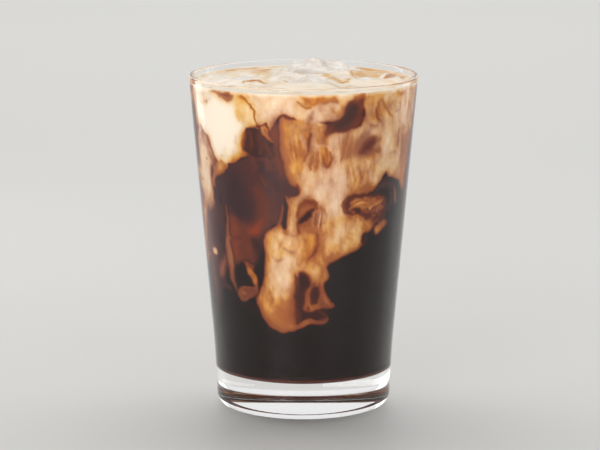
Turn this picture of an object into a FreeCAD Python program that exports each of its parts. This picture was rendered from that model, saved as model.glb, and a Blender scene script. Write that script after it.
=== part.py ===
import FreeCAD, Part

import math
import operator
import os

import Sketcher

# Iced cold brew with sweet cream, in a tapered drinking glass.
#
# Millimetres, +Z up, +X right, -Y towards the front. The origin is the centre of the foot, on the
# surface that the glass stands on. The glass is full: cold brew below, a layer of cream on it with
# plumes that sink along the wall, and four ice cubes that float in both, of which two stand clear
# of the surface.

# Driving sizes. Each becomes a cell of the sheet, and everything below reads the sheet.
SIZES = {
    "glassHeight": 132.0,
    "mouthRadius": 45.0,  # outside, at the top
    "mouthWall": 2.0,  # wall thickness at the top
    "rimRounding": 0.85,
    "heelRadius": 35.2,  # outside, where the two tapers would meet
    "heelHeight": 24.0,
    "heelBlend": 8.0,  # half the height over which the tapers run into each other
    "footRadius": 34.1,  # outside, at the surface it stands on, before rounding
    "footRounding": 5.2,
    "ringWidth": 1.9,  # flat ring that the glass stands on, inside the foot's rounding
    "hollowDepth": 1.6,  # shallow hollow inside that ring
    "floorHeight": 15.0,  # inside floor, above the surface it stands on
    "floorWall": 3.0,  # wall thickness at the floor
    "cornerRounding": 5.0,  # inside, from wall to floor
    "freeboard": 3.0,  # from the mouth down to the drink
    "meniscusWidth": 1.8,
    "meniscusRise": 0.8,
    "creamDepth": 9.0,  # thickness of the cream layer
    "plumeInset": 0.35,  # a bead's centre lies this share of its radius inside the wall
    "limbTaper": 0.94,  # a limb is this much slimmer than the beads that it joins
    "iceReach": 28.0,  # how far down the wall has to leave room for the ice
    "iceTaper": -4.0,  # how far an ice cube's sides lean in, in degrees
    "iceRounding": 3.0,
}

# Ice cubes. The edge, and the centre's place to the right and back, are percentages of the inside
# radius where the ice reaches down to. How far the centre is sunk under the surface is a
# percentage of the edge. The turns about Z, Y and X, in degrees, bring an edge or a corner up.
ICE_FACTS = ("Edge", "Right", "Back", "Sunk", "Yaw", "Pitch", "Roll")
ICE_CUBES = {
    "ice_back": (62.4, 15.0, 51.2, 39.2, 24.0, 26.0, 22.0),
    "ice_front": (52.5, 5.0, -23.7, 41.0, -20.0, 28.0, -24.0),
    "ice_right": (47.5, 67.4, 1.2, 51.6, 12.0, -26.0, 12.0),
    "ice_left": (55.0, -58.0, 11.0, 54.5, 40.0, 9.0, -14.0),
}

# Cream plumes: chains of beads down the wall, each bead with its angle in degrees from the front
# towards the right, its depth under the surface as a percentage of the drink's whole depth, and
# its radius as a percentage of the inside radius at the mouth.
BEAD_FACTS = ("Angle", "Depth", "Radius")
CREAM_PLUMES = {
    "leftLobe": [(-52, 7.9, 29.1), (-46, 15.8, 20.9)],
    "leftEdge": [(-67, 12.3, 18.6), (-66, 28.1, 14.0), (-64, 40.4, 9.3)],
    "middleLobe": [(-13, 3.5, 18.6), (-20, 7.9, 10.5)],
    "column": [(14, 12.3, 27.9), (14, 28.1, 27.9), (19, 42.1, 23.3), (17, 53.5, 18.6)],
    "stem": [(3, 31.6, 14.0), (-6, 41.2, 7.4), (-8, 50.9, 18.6)],
    "bulb": [(-8, 50.9, 20.0), (-13, 61.4, 18.6), (-17, 73.7, 19.1)],
    "hook": [(14, 54.4, 11.6), (13, 67.5, 7.9), (8, 76.3, 7.4)],
    "shelf": [(44, 8.8, 27.9), (50, 21.1, 23.3), (66, 26.3, 18.6)],
    "knot": [(24, 35.1, 15.1), (34, 39.5, 13.0), (44, 43.0, 9.8)],
    "backRight": [(98, 8.8, 27.9), (106, 26.3, 20.9), (100, 41.2, 14.4)],
    "backMiddle": [(148, 8.8, 30.2), (160, 29.8, 22.1), (152, 50.9, 16.3), (160, 63.2, 20.0)],
    "backLeft": [(205, 8.8, 27.9), (196, 24.6, 19.5), (204, 38.6, 12.6)],
    "backEdge": [(250, 7.0, 25.6), (242, 21.1, 18.6), (250, 35.1, 15.3)],
}

# Cold brew that wells up into the cream, written in the same way.
BREW_WELLS = {
    "gap": [(31, 3.5, 8.4), (24, 8.8, 12.1), (32, 16.7, 7.9)],
    "pocket": [(-25, 10.5, 10.7), (-20, 19.3, 17.2)],
    "eye": [(5, 39.5, 10.2), (2, 42.1, 9.3)],
    "slot": [(-2, 63.2, 7.9), (-1, 71.9, 8.8)],
}


class Size:
    """A number from the sheet, or worked out from others, with the expression that gives it."""

    def __init__(self, value, text):
        self.value, self.text = float(value), text

    def joined(self, sign, rule, other):
        if not isinstance(other, Size):
            other = Size(other, str(other))
        return Size(rule(self.value, other.value), f"({self.text} {sign} {other.text})")

    def __add__(self, other):
        return self.joined("+", operator.add, other)

    def __sub__(self, other):
        return self.joined("-", operator.sub, other)

    def __mul__(self, other):
        return self.joined("*", operator.mul, other)

    def __truediv__(self, other):
        return self.joined("/", operator.truediv, other)

    def __abs__(self):
        return Size(abs(self.value), f"abs({self.text})")

    def __str__(self):
        return self.text


def bead_cell(chain, number, fact):
    """Alias of one size of one bead."""
    return f"{chain}Bead{number}{fact}"


def ice_cell(cube, fact):
    """Alias of one size of one ice cube."""
    return cube.replace("_", "") + fact


def make_sheet(doc):
    """Puts every driving size in a cell with an alias."""
    rows = dict(SIZES)
    for cube, values in ICE_CUBES.items():
        rows.update((ice_cell(cube, fact), value) for fact, value in zip(ICE_FACTS, values))
    for chain, beads in {**CREAM_PLUMES, **BREW_WELLS}.items():
        for number, bead in enumerate(beads, 1):
            rows.update((bead_cell(chain, number, fact), value) for fact, value in zip(BEAD_FACTS, bead))
    sheet = doc.addObject("Spreadsheet::Sheet", "Sizes")
    for row, (name, value) in enumerate(rows.items(), 1):
        sheet.set(f"A{row}", name)
        sheet.set(f"B{row}", str(value))
        sheet.setAlias(f"B{row}", name)
    doc.recompute()


def size(doc, name):
    """A cell of the sheet as a Size."""
    return Size(doc.Sizes.get(name), f"Sizes.{name}")


def surface(doc):
    """Height of the drink's surface."""
    return size(doc, "glassHeight") - size(doc, "freeboard")


def inside_top(doc):
    """Inside radius at the mouth."""
    return size(doc, "mouthRadius") - size(doc, "mouthWall")


def low_slope(doc):
    """How fast the outside widens, per millimetre of height, below the heel."""
    return (size(doc, "heelRadius") - size(doc, "footRadius")) / size(doc, "heelHeight")


def floor_radius(doc):
    """Inside radius at the floor."""
    outside = size(doc, "footRadius") + low_slope(doc) * size(doc, "floorHeight")
    return outside - size(doc, "floorWall")


def wall_at(doc, height):
    """Inside radius of the wall at a height."""
    floor, low = size(doc, "floorHeight"), floor_radius(doc)
    share = (height - floor) / (size(doc, "glassHeight") - floor)
    return low + (inside_top(doc) - low) * share


# ---- turned bodies


def origin_plane(body, role):
    """One of the body's own origin planes."""
    return next(f for f in body.Origin.OriginFeatures if f.Role == role)


def bind(sketch, name, amount, rule, *where):
    """Adds a dimension to a sketch and binds it to the sheet."""
    at = sketch.addConstraint(Sketcher.Constraint(rule, *where, amount.value))
    sketch.renameConstraint(at, name)
    sketch.setExpression(f"Constraints.{name}", amount.text)


def outline_sketch(body, corners, bows):
    """A closed outline on the body's XZ plane, with every corner bound to the sheet.

    corners are (x, z) pairs of Sizes, or 0 on an axis. bows maps an edge's number to the Size of
    how far its middle stands off its chord, to the left of the way it runs, which makes it an arc.
    """
    sketch = body.newObject("Sketcher::SketchObject", body.Name + "Outline")
    sketch.AttachmentSupport = (origin_plane(body, "XZ_Plane"), [""])
    sketch.MapMode = "FlatFace"
    points = [FreeCAD.Vector(*(c.value if c else 0 for c in corner), 0) for corner in corners]
    count = len(points)
    for i, start in enumerate(points):
        end = points[(i + 1) % count]
        if i in bows:
            left = FreeCAD.Vector(start.y - end.y, end.x - start.x, 0).normalize()
            middle = (start + end) / 2 + left * bows[i].value
            sketch.addGeometry(Part.Arc(start, middle, end), False)
        else:
            sketch.addGeometry(Part.LineSegment(start, end), False)
    starts = [1 if (sketch.getPoint(i, 1) - points[i]).Length < 1e-6 else 2 for i in range(count)]
    for i in range(count):
        after = (i + 1) % count
        sketch.addConstraint(Sketcher.Constraint("Coincident", i, 3 - starts[i], after, starts[after]))
    for i, (x, z) in enumerate(corners):
        if x:
            bind(sketch, f"corner{i}X", x, "DistanceX", -1, 1, i, starts[i])
        else:
            sketch.addConstraint(Sketcher.Constraint("PointOnObject", i, starts[i], -2))
        if z:
            bind(sketch, f"corner{i}Z", z, "DistanceY", -1, 1, i, starts[i])
        else:
            sketch.addConstraint(Sketcher.Constraint("PointOnObject", i, starts[i], -1))
    for i, bow in bows.items():
        (x0, z0), (x1, z1) = corners[i], corners[(i + 1) % count]
        across, up = (x0 - x1 if x0 else x1), (z0 - z1 if z1 else z0)
        chord_squared = across * across + up * up
        bind(sketch, f"arc{i}", abs(chord_squared / (bow * 8) + bow / 2), "Radius", i)
    return sketch


def turned_body(doc, label, corners, bows):
    """A PartDesign body revolved from an outline."""
    body = doc.addObject("PartDesign::Body", label)
    sketch = outline_sketch(body, corners, bows)
    doc.recompute()
    turn = body.newObject("PartDesign::Revolution", label + "Turn")
    turn.Profile = sketch
    turn.ReferenceAxis = (sketch, ["V_Axis"])
    turn.Angle = 360
    body.Tip = turn
    doc.recompute()
    return body


def circle_edges(shape, radius, height):
    """Names of the circular edges about Z with this radius at this height."""
    found = []
    for number, edge in enumerate(shape.Edges, 1):
        if edge.Degenerated or not isinstance(edge.Curve, Part.Circle):
            continue
        if math.isclose(edge.Curve.Radius, radius, abs_tol=1e-3):
            if math.isclose(edge.Curve.Center.z, height, abs_tol=1e-3):
                found.append(f"Edge{number}")
    return found


def round_off(body, label, radius, circles):
    """Fillets the circles, given as (radius, height) pairs of numbers, of a turned body."""
    base = body.Tip
    names = [name for circle in circles for name in circle_edges(base.Shape, *circle)]
    if not names:
        raise RuntimeError(f"{label} found no edge")
    fillet = body.newObject("PartDesign::Fillet", label)
    fillet.Base = (base, names)
    fillet.setExpression("Radius", radius)
    body.Tip = fillet
    body.Document.recompute()


def make_glass(doc):
    """The tumbler: two outside tapers, a thick bottom and a shallow hollow under the foot."""
    height, mouth = size(doc, "glassHeight"), size(doc, "mouthRadius")
    heel, heel_height, blend = (size(doc, n) for n in ("heelRadius", "heelHeight", "heelBlend"))
    foot, rounding, hollow = (size(doc, n) for n in ("footRadius", "footRounding", "hollowDepth"))
    floor, inside = size(doc, "floorHeight"), floor_radius(doc)
    low, high = low_slope(doc), (mouth - heel) / (height - heel_height)
    corners = [
        (0, hollow),
        (foot - rounding - size(doc, "ringWidth"), 0),
        (foot, 0),
        (heel - low * blend, heel_height - blend),
        (heel + high * blend, heel_height + blend),
        (mouth, height),
        (inside_top(doc), height),
        (inside, floor),
        (0, floor),
    ]
    bows = {0: hollow / 6, 3: (high - low) * blend / 4}
    body = turned_body(doc, "glass", corners, bows)
    rims = [(mouth.value, height.value), (inside_top(doc).value, height.value)]
    round_off(body, "CornerRounding", "Sizes.cornerRounding", [(inside.value, floor.value)])
    round_off(body, "FootRounding", "Sizes.footRounding", [(foot.value, 0)])
    round_off(body, "RimRounding", "min(Sizes.rimRounding; Sizes.mouthWall * 0.45)", rims)
    return body


def make_fill(doc):
    """Everything that the glass holds, up to the surface, with the meniscus at the wall."""
    top, floor = surface(doc), size(doc, "floorHeight")
    width, rise = size(doc, "meniscusWidth"), size(doc, "meniscusRise")
    wall_top = top + rise
    corners = [
        (0, floor),
        (floor_radius(doc), floor),
        (wall_at(doc, wall_top), wall_top),
        (wall_at(doc, wall_top) - width, top),
        (0, top),
    ]
    # The chord of the meniscus is sqrt(width^2 + rise^2) and its arc ends level, so the sagitta
    # is close to a quarter of the rise.
    body = turned_body(doc, "fill", corners, {2: rise / 4})
    round_off(body, "FillCorner", "Sizes.cornerRounding", [(floor_radius(doc).value, floor.value)])
    return body


# ---- plumes


def make_bead(doc, chain, number):
    """A round bead whose centre is held to the wall by the inset."""
    angle, depth, width = (size(doc, bead_cell(chain, number, fact)) for fact in BEAD_FACTS)
    height = surface(doc) - (surface(doc) - size(doc, "floorHeight")) * depth / 100
    radius = inside_top(doc) * width / 100
    outwards = wall_at(doc, height) - size(doc, "plumeInset") * radius
    bead = doc.addObject("Part::Sphere", f"{chain}Bead{number}")
    bead.setExpression("Radius", radius.text)
    bead.setExpression("Placement.Base.x", f"{outwards} * sin({angle})")
    bead.setExpression("Placement.Base.y", f"-{outwards} * cos({angle})")
    bead.setExpression("Placement.Base.z", height.text)
    return bead


def make_limb(doc, start, end):
    """A tapered limb from one bead to the next, a little slimmer than both."""
    across, back, up = (f"({end.Name}.Placement.Base.{a} - {start.Name}.Placement.Base.{a})" for a in "xyz")
    length = f"sqrt({across}^2 + {back}^2 + {up}^2)"
    turn = f"rotation(atan2({back}; {across}); acos({up} / {length}); 0)"
    limb = doc.addObject("Part::Cone", start.Name + "Limb")
    limb.setExpression("Radius1", f"{start.Name}.Radius * Sizes.limbTaper")
    limb.setExpression("Radius2", f"{end.Name}.Radius * Sizes.limbTaper")
    limb.setExpression("Height", length)
    limb.setExpression("Placement", f"placement({start.Name}.Placement.Base; {turn})")
    return limb


def make_chain(doc, chain, count):
    """The beads of one plume and the limbs that join them, not yet fused."""
    beads = [make_bead(doc, chain, number) for number in range(1, count + 1)]
    return beads + [make_limb(doc, start, end) for start, end in zip(beads, beads[1:])]


def make_layer(doc):
    """The cream layer on top, wider and taller than the glass, to be trimmed by the fill."""
    layer = doc.addObject("Part::Cylinder", "layer")
    layer.setExpression("Radius", "Sizes.mouthRadius")
    layer.setExpression("Height", "Sizes.creamDepth + Sizes.freeboard")
    layer.setExpression("Placement.Base.z", f"{surface(doc)} - Sizes.creamDepth")
    return layer


# ---- ice


def make_ice(doc, cube):
    """One rounded ice cube with sides that lean in, turned about its centre."""
    edge, right, back, sunk, yaw, pitch, roll = (size(doc, ice_cell(cube, f)) for f in ICE_FACTS)
    room = wall_at(doc, surface(doc) - size(doc, "iceReach"))
    edge, right, back = (room * share / 100 for share in (edge, right, back))
    sunk = edge * sunk / 100
    body = doc.addObject("PartDesign::Body", cube)
    sketch = body.newObject("Sketcher::SketchObject", cube + "_square")
    sketch.AttachmentSupport = (origin_plane(body, "XY_Plane"), [""])
    sketch.MapMode = "FlatFace"
    half = edge.value / 2
    corners = [FreeCAD.Vector(x * half, y * half, 0) for x, y in ((-1, -1), (1, -1), (1, 1), (-1, 1))]
    for i in range(4):
        sketch.addGeometry(Part.LineSegment(corners[i], corners[(i + 1) % 4]), False)
    for i in range(4):
        sketch.addConstraint(Sketcher.Constraint("Coincident", i, 2, (i + 1) % 4, 1))
        sketch.addConstraint(Sketcher.Constraint("Vertical" if i % 2 else "Horizontal", i))
    sketch.addConstraint(Sketcher.Constraint("Symmetric", 0, 1, 1, 2, -1, 1))
    bind(sketch, "width", edge, "DistanceX", 0, 1, 0, 2)
    bind(sketch, "depth", edge, "DistanceY", 1, 1, 1, 2)
    doc.recompute()
    pad = body.newObject("PartDesign::Pad", cube + "_pad")
    pad.Profile = sketch
    pad.setExpression("Length", edge.text)
    pad.setExpression("TaperAngle", "Sizes.iceTaper")
    body.Tip = pad
    doc.recompute()
    rounding = body.newObject("PartDesign::Fillet", cube + "_rounding")
    rounding.Base = (pad, [f"Edge{number}" for number in range(1, len(pad.Shape.Edges) + 1)])
    rounding.setExpression("Radius", "Sizes.iceRounding")
    body.Tip = rounding
    turn = f"rotation({yaw}; {pitch}; {roll})"
    lowered = f"{surface(doc) - sunk} - {edge} / 2"
    centre = f"vector(0; 0; {edge} / 2)"
    body.setExpression("Placement", f"placement(vector({right}; {back}; {lowered}); {turn}; {centre})")
    doc.recompute()
    return body


# ---- drink


def combine(doc, kind, name, shapes):
    """A Part boolean: shapes fused or kept in common, or the second cut from the first."""
    result = doc.addObject(kind, name)
    if kind == "Part::Cut":
        result.Base, result.Tool = shapes
    else:
        result.Shapes = shapes
    doc.recompute()
    return result


def make_drink(doc, fill, cubes):
    """The cream with its plumes and the cold brew around them, both cut round the ice."""
    plumes = [solid for chain, beads in CREAM_PLUMES.items() for solid in make_chain(doc, chain, len(beads))]
    wells = [solid for chain, beads in BREW_WELLS.items() for solid in make_chain(doc, chain, len(beads))]
    doc.recompute()
    ice = combine(doc, "Part::MultiFuse", "allIce", cubes)
    cloud = combine(doc, "Part::MultiFuse", "cloud", [make_layer(doc), *plumes])
    welling = combine(doc, "Part::MultiFuse", "welling", wells)
    pierced = combine(doc, "Part::Cut", "piercedCloud", [cloud, welling])
    held = combine(doc, "Part::MultiCommon", "heldCloud", [fill, pierced])
    below = combine(doc, "Part::Cut", "belowCloud", [fill, held])
    cream = combine(doc, "Part::Cut", "sweet_cream", [held, ice])
    brew = combine(doc, "Part::Cut", "cold_brew", [below, ice])
    return cream, brew


# ---- document


def check_document(doc, pieces):
    """Stops if an object failed, or a piece is empty, invalid or in more than one solid."""
    failed = [o.Name for o in doc.Objects if {"Invalid", "Error"} & set(o.State)]
    if failed:
        raise RuntimeError(f"these objects failed: {failed}")
    for piece in pieces:
        shape = piece.Shape
        if shape.isNull() or not shape.isValid():
            raise RuntimeError(f"{piece.Label} is empty or invalid")
        print(f"{piece.Label}: {len(shape.Solids)} solid, {len(shape.Faces)} faces, {shape.Volume / 1000:.2f} cm3")


def main():
    doc = FreeCAD.newDocument("ColdBrew")
    make_sheet(doc)
    glass = make_glass(doc)
    fill = make_fill(doc)
    cubes = [make_ice(doc, cube) for cube in ICE_CUBES]
    cream, brew = make_drink(doc, fill, cubes)
    pieces = [glass, brew, cream, *cubes]
    doc.recompute()
    check_document(doc, pieces)
    os.makedirs("parts", exist_ok=True)
    for piece in pieces:
        piece.Shape.exportStep(f"parts/{piece.Label}.step")


main()
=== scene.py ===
import math

import bpy
import numpy as np
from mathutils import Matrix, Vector


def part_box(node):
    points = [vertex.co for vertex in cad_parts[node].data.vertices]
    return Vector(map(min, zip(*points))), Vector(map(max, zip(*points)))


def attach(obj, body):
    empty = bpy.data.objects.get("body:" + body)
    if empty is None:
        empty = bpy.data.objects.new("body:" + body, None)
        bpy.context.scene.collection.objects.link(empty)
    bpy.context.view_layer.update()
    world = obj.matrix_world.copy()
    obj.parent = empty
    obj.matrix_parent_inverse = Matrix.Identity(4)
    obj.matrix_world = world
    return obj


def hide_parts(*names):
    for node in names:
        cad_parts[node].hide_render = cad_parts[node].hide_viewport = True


# Sweet cream cold brew in its glass. Sizes are in millimetres and angles in degrees unless a line
# says otherwise, and mm turns a length to Blender's metres. An angle on the wall runs from the
# front (-Y) towards the right (+X).
mm = 0.001
smoothAngle = 40
mergeDistance = 0.004

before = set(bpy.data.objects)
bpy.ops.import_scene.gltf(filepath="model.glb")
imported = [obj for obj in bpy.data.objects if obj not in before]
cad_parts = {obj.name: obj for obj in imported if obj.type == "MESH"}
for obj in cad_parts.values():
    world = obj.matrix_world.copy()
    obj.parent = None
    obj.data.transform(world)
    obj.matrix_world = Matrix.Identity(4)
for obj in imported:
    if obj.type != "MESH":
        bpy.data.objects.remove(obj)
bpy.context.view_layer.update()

glassSizes = {
    "height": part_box("glass")[1].z / mm,
    "mouthRadius": 45.0,
    "mouthWall": 2.0,
    "rimRounding": 0.85,
    "heelRadius": 35.2,
    "heelHeight": 24.0,
    "heelBlend": 8.0,
    "footRadius": 34.1,
    "footRounding": 5.2,
    "ringWidth": 1.9,
    "hollowDepth": 1.6,
    "floorHeight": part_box("cold_brew")[0].z / mm,
    "floorWall": 3.0,
    "cornerRounding": 5.0,
    "arcSteps": 8,
    "footSteps": 12,
    "cornerSteps": 10,
    "turnSteps": 144,
}
drinkSizes = {
    "surface": glassSizes["height"] - 3.0,
    "meniscusWidth": 1.8,
    "meniscusRise": 0.8,
    "intoWall": 0.25,  # how far the drink reaches into the glass, so that no air gap shows
    "joint": 84.0,  # height where the cold brew's piece ends and the cream's begins
    "fineArc": 120.0,  # part of the turn, in front, that gets the finest mesh
    "fineStep": 0.44,  # degrees between columns there
    "sideArc": 42.0,  # on either side of that
    "sideStep": 0.7,
    "backStep": 2.6,
    "rowStep": 0.38,
    "plainStep": 1.6,  # below the lowest plume
    "plainTop": 33.0,
    "ringStep": 0.7,
    "cornerSteps": 14,
    "capRings": 6,
    "undersideTop": 0.4,  # above its floor, where the brew's underside, painted pale for the light it catches, ends
    "glowingEdgeTop": 1.7,  # and where its red edge, a painted glow, ends
    "bend": 1.04,  # the wall's glass spreads what lies behind it by this much
    "bendEnds": 70,  # degrees from the front or the back where that begins to fade out
    "bendFade": 20,
}
firstAngle = drinkSizes["fineArc"] / 2 + drinkSizes["sideArc"]  # the drink's outline is turned from here


def startPiece():
    if bpy.context.object and bpy.context.object.mode != "OBJECT":
        bpy.ops.object.mode_set(mode="OBJECT")
    bpy.ops.object.select_all(action="DESELECT")


def endPiece(name, material):
    bpy.ops.object.mode_set(mode="OBJECT")
    piece = bpy.context.object
    piece.name = piece.data.name = name
    piece.data.materials.clear()
    piece.data.materials.append(material)
    bpy.ops.object.transform_apply(location=True, rotation=True, scale=True)
    bpy.ops.object.shade_smooth_by_angle(angle=math.radians(smoothAngle))
    return piece


def hand(piece, slot, *nodes):
    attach(piece, "root")
    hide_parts(*nodes)


def linear(hexColour):
    parts = [int(hexColour[i : i + 2], 16) / 255 for i in (1, 3, 5)]
    return [c / 12.92 if c <= 0.04045 else ((c + 0.055) / 1.055) ** 2.4 for c in parts]


def addNode(tree, kind, settings=None, values=None, links=None):
    node = tree.nodes.new(kind)
    for name, value in (settings or {}).items():
        setattr(node, name, value)
    for socket, value in (values or {}).items():
        node.inputs[socket].default_value = value
    for socket, source in (links or {}).items():
        tree.links.new(source, node.inputs[socket])
    return node


def newMaterial(name):
    material = bpy.data.materials.new(name)
    material.use_nodes = True
    material.node_tree.nodes.clear()
    return material, material.node_tree


def finishMaterial(tree, shader):
    addNode(tree, "ShaderNodeOutputMaterial", links={"Surface": shader.outputs[0]})


def plainMaterial(name, colour, values):
    # one colour all over
    material, tree = newMaterial(name)
    inputs = {"Base Color": (*linear(colour), 1), **values}
    finishMaterial(tree, addNode(tree, "ShaderNodeBsdfPrincipled", values=inputs))
    return material


def setStops(ramp, stops):
    points = ramp.color_ramp.elements
    while len(points) < len(stops):
        points.new(0.5)
    for point, (place, colour) in zip(points, stops):
        point.position = place
        point.color = (*linear(colour), 1)


def colourRamp(tree, source, stops):
    ramp = addNode(tree, "ShaderNodeValToRGB", links={"Fac": source})
    setStops(ramp, stops)
    return ramp.outputs["Color"]


def places(piece):
    co = np.empty(3 * len(piece.data.vertices))
    piece.data.vertices.foreach_get("co", co)
    return co.reshape(-1, 3) / mm


def moveTo(piece, co):
    piece.data.vertices.foreach_set("co", (co * mm).ravel())


def roundCorner(before, corner, after, radius, steps):
    # the points of an arc that rounds a corner of an outline
    corner = np.array(corner, float)
    a, b = np.array(before) - corner, np.array(after) - corner
    a, b = a / np.hypot(*a), b / np.hypot(*b)
    half = math.acos(np.clip(a @ b, -1, 1)) / 2
    centre = corner + (a + b) / np.hypot(*(a + b)) * radius / math.sin(half)
    start, end = corner + a * radius / math.tan(half), corner + b * radius / math.tan(half)
    first = math.atan2(*(start - centre)[::-1])
    turn = math.atan2(*(end - centre)[::-1]) - first
    turn = (turn + math.pi) % (2 * math.pi) - math.pi
    angles = [first + turn * i / steps for i in range(steps + 1)]
    return [(centre[0] + radius * math.cos(t), centre[1] + radius * math.sin(t)) for t in angles]


def blendCurve(start, corner, end, steps):
    # a soft bend from start to end that leans towards the corner
    shares = [i / steps for i in range(steps + 1)]
    return [
        tuple((1 - t) ** 2 * a + 2 * t * (1 - t) * b + t * t * c for a, b, c in zip(start, corner, end))
        for t in shares
    ]


def drawOutline(outline, angle=0.0, splits=None):
    # a vertex pulled along the outline in edit mode; splits says how finely each edge is cut
    startPiece()
    across, back = math.sin(math.radians(angle)), -math.cos(math.radians(angle))
    bpy.ops.mesh.primitive_plane_add(size=mm, location=(0, 0, 0))
    bpy.ops.object.mode_set(mode="EDIT")
    bpy.ops.mesh.merge(type="CENTER")
    r, z = outline[0]
    bpy.ops.transform.translate(value=(r * across * mm, r * back * mm, z * mm))
    for i, (nextR, nextZ) in enumerate(outline[1:]):
        count = max(1, (splits or {}).get(i, 1))
        for _ in range(count):
            dr, dz = (nextR - r) / count * mm, (nextZ - z) / count * mm
            bpy.ops.mesh.extrude_region_move(
                TRANSFORM_OT_translate={"value": (dr * across, dr * back, dz)}
            )
        r, z = nextR, nextZ
    bpy.ops.mesh.select_all(action="SELECT")


def turnOutline(spans):
    # spans are (degrees, steps) pairs, one after the other
    for degrees, steps in spans:
        bpy.ops.mesh.spin(steps=steps, angle=math.radians(degrees), center=(0, 0, 0), axis=(0, 0, 1))
    bpy.ops.mesh.select_all(action="SELECT")
    bpy.ops.mesh.remove_doubles(threshold=mergeDistance * mm)
    bpy.ops.mesh.normals_make_consistent(inside=False)


def insideRadius(z):
    s = glassSizes
    low = s["footRadius"] + (s["heelRadius"] - s["footRadius"]) * s["floorHeight"] / s["heelHeight"]
    low -= s["floorWall"]
    top = s["mouthRadius"] - s["mouthWall"]
    return low + (top - low) * (z - s["floorHeight"]) / (s["height"] - s["floorHeight"])


def clearGlass():
    # clear soda-lime tumbler glass, pressed and fire polished: colourless, sharp bright edges
    material, tree = newMaterial("clearGlass")
    body = addNode(
        tree,
        "ShaderNodeBsdfPrincipled",
        values={
            "Base Color": (1, 1, 1, 1),
            "Roughness": 0.0,
            "IOR": 1.46,
            "Transmission Weight": 1.0,
        },
    )
    # shadow rays pass straight through, so that lamps reach the drink and the floor
    rays = addNode(tree, "ShaderNodeLightPath")
    through = addNode(tree, "ShaderNodeBsdfTransparent", values={"Color": (0.95, 0.96, 0.96, 1)})
    mix = addNode(
        tree,
        "ShaderNodeMixShader",
        links={0: rays.outputs["Is Shadow Ray"], 1: body.outputs[0], 2: through.outputs[0]},
    )
    finishMaterial(tree, mix)
    return material


def makeGlass():
    s = glassSizes
    height, mouth, wall = s["height"], s["mouthRadius"], s["mouthWall"]
    low = (s["heelRadius"] - s["footRadius"]) / s["heelHeight"]
    high = (mouth - s["heelRadius"]) / (height - s["heelHeight"])
    foot, ring = (s["footRadius"], 0.0), (s["footRadius"] - s["footRounding"] - s["ringWidth"], 0.0)
    heelStart = (s["heelRadius"] - low * s["heelBlend"], s["heelHeight"] - s["heelBlend"])
    heelEnd = (s["heelRadius"] + high * s["heelBlend"], s["heelHeight"] + s["heelBlend"])
    rimOut, rimIn = (mouth, height), (mouth - wall, height)
    corner, middle = (insideRadius(s["floorHeight"]), s["floorHeight"]), (0.0, s["floorHeight"])
    steps = s["arcSteps"]
    hollow = [(ring[0] * k / steps, s["hollowDepth"] * (1 - (k / steps) ** 2)) for k in range(steps)]
    outline = hollow + [ring]
    outline += roundCorner(ring, foot, heelStart, s["footRounding"], s["footSteps"])
    outline += blendCurve(heelStart, (s["heelRadius"], s["heelHeight"]), heelEnd, steps)
    outline += roundCorner(heelEnd, rimOut, rimIn, s["rimRounding"], steps)
    outline += roundCorner(rimOut, rimIn, corner, s["rimRounding"], steps)
    outline += roundCorner(rimIn, corner, middle, s["cornerRounding"], s["cornerSteps"])
    outline.append(middle)
    drawOutline(outline)
    turnOutline([(360, s["turnSteps"])])
    glass = endPiece("glassTumbler", clearGlass())
    hand(glass, "clear_glass", "glass")
    print("glass", len(glass.data.polygons), "faces")


makeGlass()


# Cream falls through cold brew as smoky plumes, and where the two mix the colour goes from near
# black through red-brown and gold to cream. It is painted on a flat map of the wall, angle by
# height, in these layers, which the drink's vertices then carry as attributes:
#   milk   0 cold brew, 1 cream
#   tone   0 a golden mix, 1 a greyer pinkish one
#   ice    1 where ice behind the cold brew glows through it
#   glow   how brightly it does, from purple-black to red-brown
#   grain  how strongly the fine fibres show

paintSizes = {
    "perDegree": 0.7,  # millimetres along the wall for a degree
    "columnStep": 0.45,
    "rowStep": 0.32,
    "lowest": 14.5,
    "highest": 131.0,
    "fibreLength": 4.0,
    "fibreWidth": 0.55,
    "fibreStep": 0.35,
    "fibreShade": 0.45,
    "brewMilk": 0.02,
}
roughSize = 1.3  # of the wear on a mark's edge
curlWaves = 14
swirls = [(16.0, 0.5, 5), (6.0, 0.3, 8), (2.6, 0.17, 12), (1.2, 0.1, 15)]  # size, strength, seed
sideSwirls = [(6.0, 0.5, 8), (2.6, 0.17, 12)]
topSwirls = [(12.0, 0.8, 15), (4.0, 0.3, 18)]
# amount, width, height, seed and fineness of what clouds the ice's glow
glowClouds = [(0.05, 5, 7, 21, 3), (0.10, 0.9, 1.1, 23, 2)]
fringeSizes = {
    "width": 1.3,
    "creamFrom": 0.35,  # milk at which a place starts to count as cream, and over what range it does
    "creamRange": 0.2,
    "stain": 0.8,
    "gold": 1.2,
    "halo": 0.25,
}
lumps = {
    "swirled": 0.4,  # how far they follow the swirls
    "from": 0.42,  # milk at which they show, and at which they are gone again
    "range": 0.2,
    "to": 0.97,
    "toRange": 0.12,
    "shade": 0.11,
    "darker": 0.05,
    "width": 4.0,
    "height": 7.0,
    "tone": 0.3,
    "toneWidth": 6.0,
    "toneHeight": 8.0,
}
backLook = {
    "fadeFrom": 88,  # degrees from straight behind where the drawing out of shape begins
    "fadeRange": 26,
    "top": 131.5,  # no mark moves up or down above this, and every mark does a fadeDepth below it
    "fadeDepth": 16,
    "turn": 12,  # degrees by which the turning about is uneven
    "drift": 13,  # how far marks move sideways, and the width and height of the noise that moves them
    "driftSize": (24, 30),
    "drop": 13,  # how far they move up and down
    "fall": 4,  # and how far down all of them do
    "fallSize": (27, 40),
    "highest": 127.5,  # nothing below this height shows a mark from above it
}
layerNames = ("milk", "tone", "ice", "glow", "grain", "turnX", "turnZ")


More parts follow.
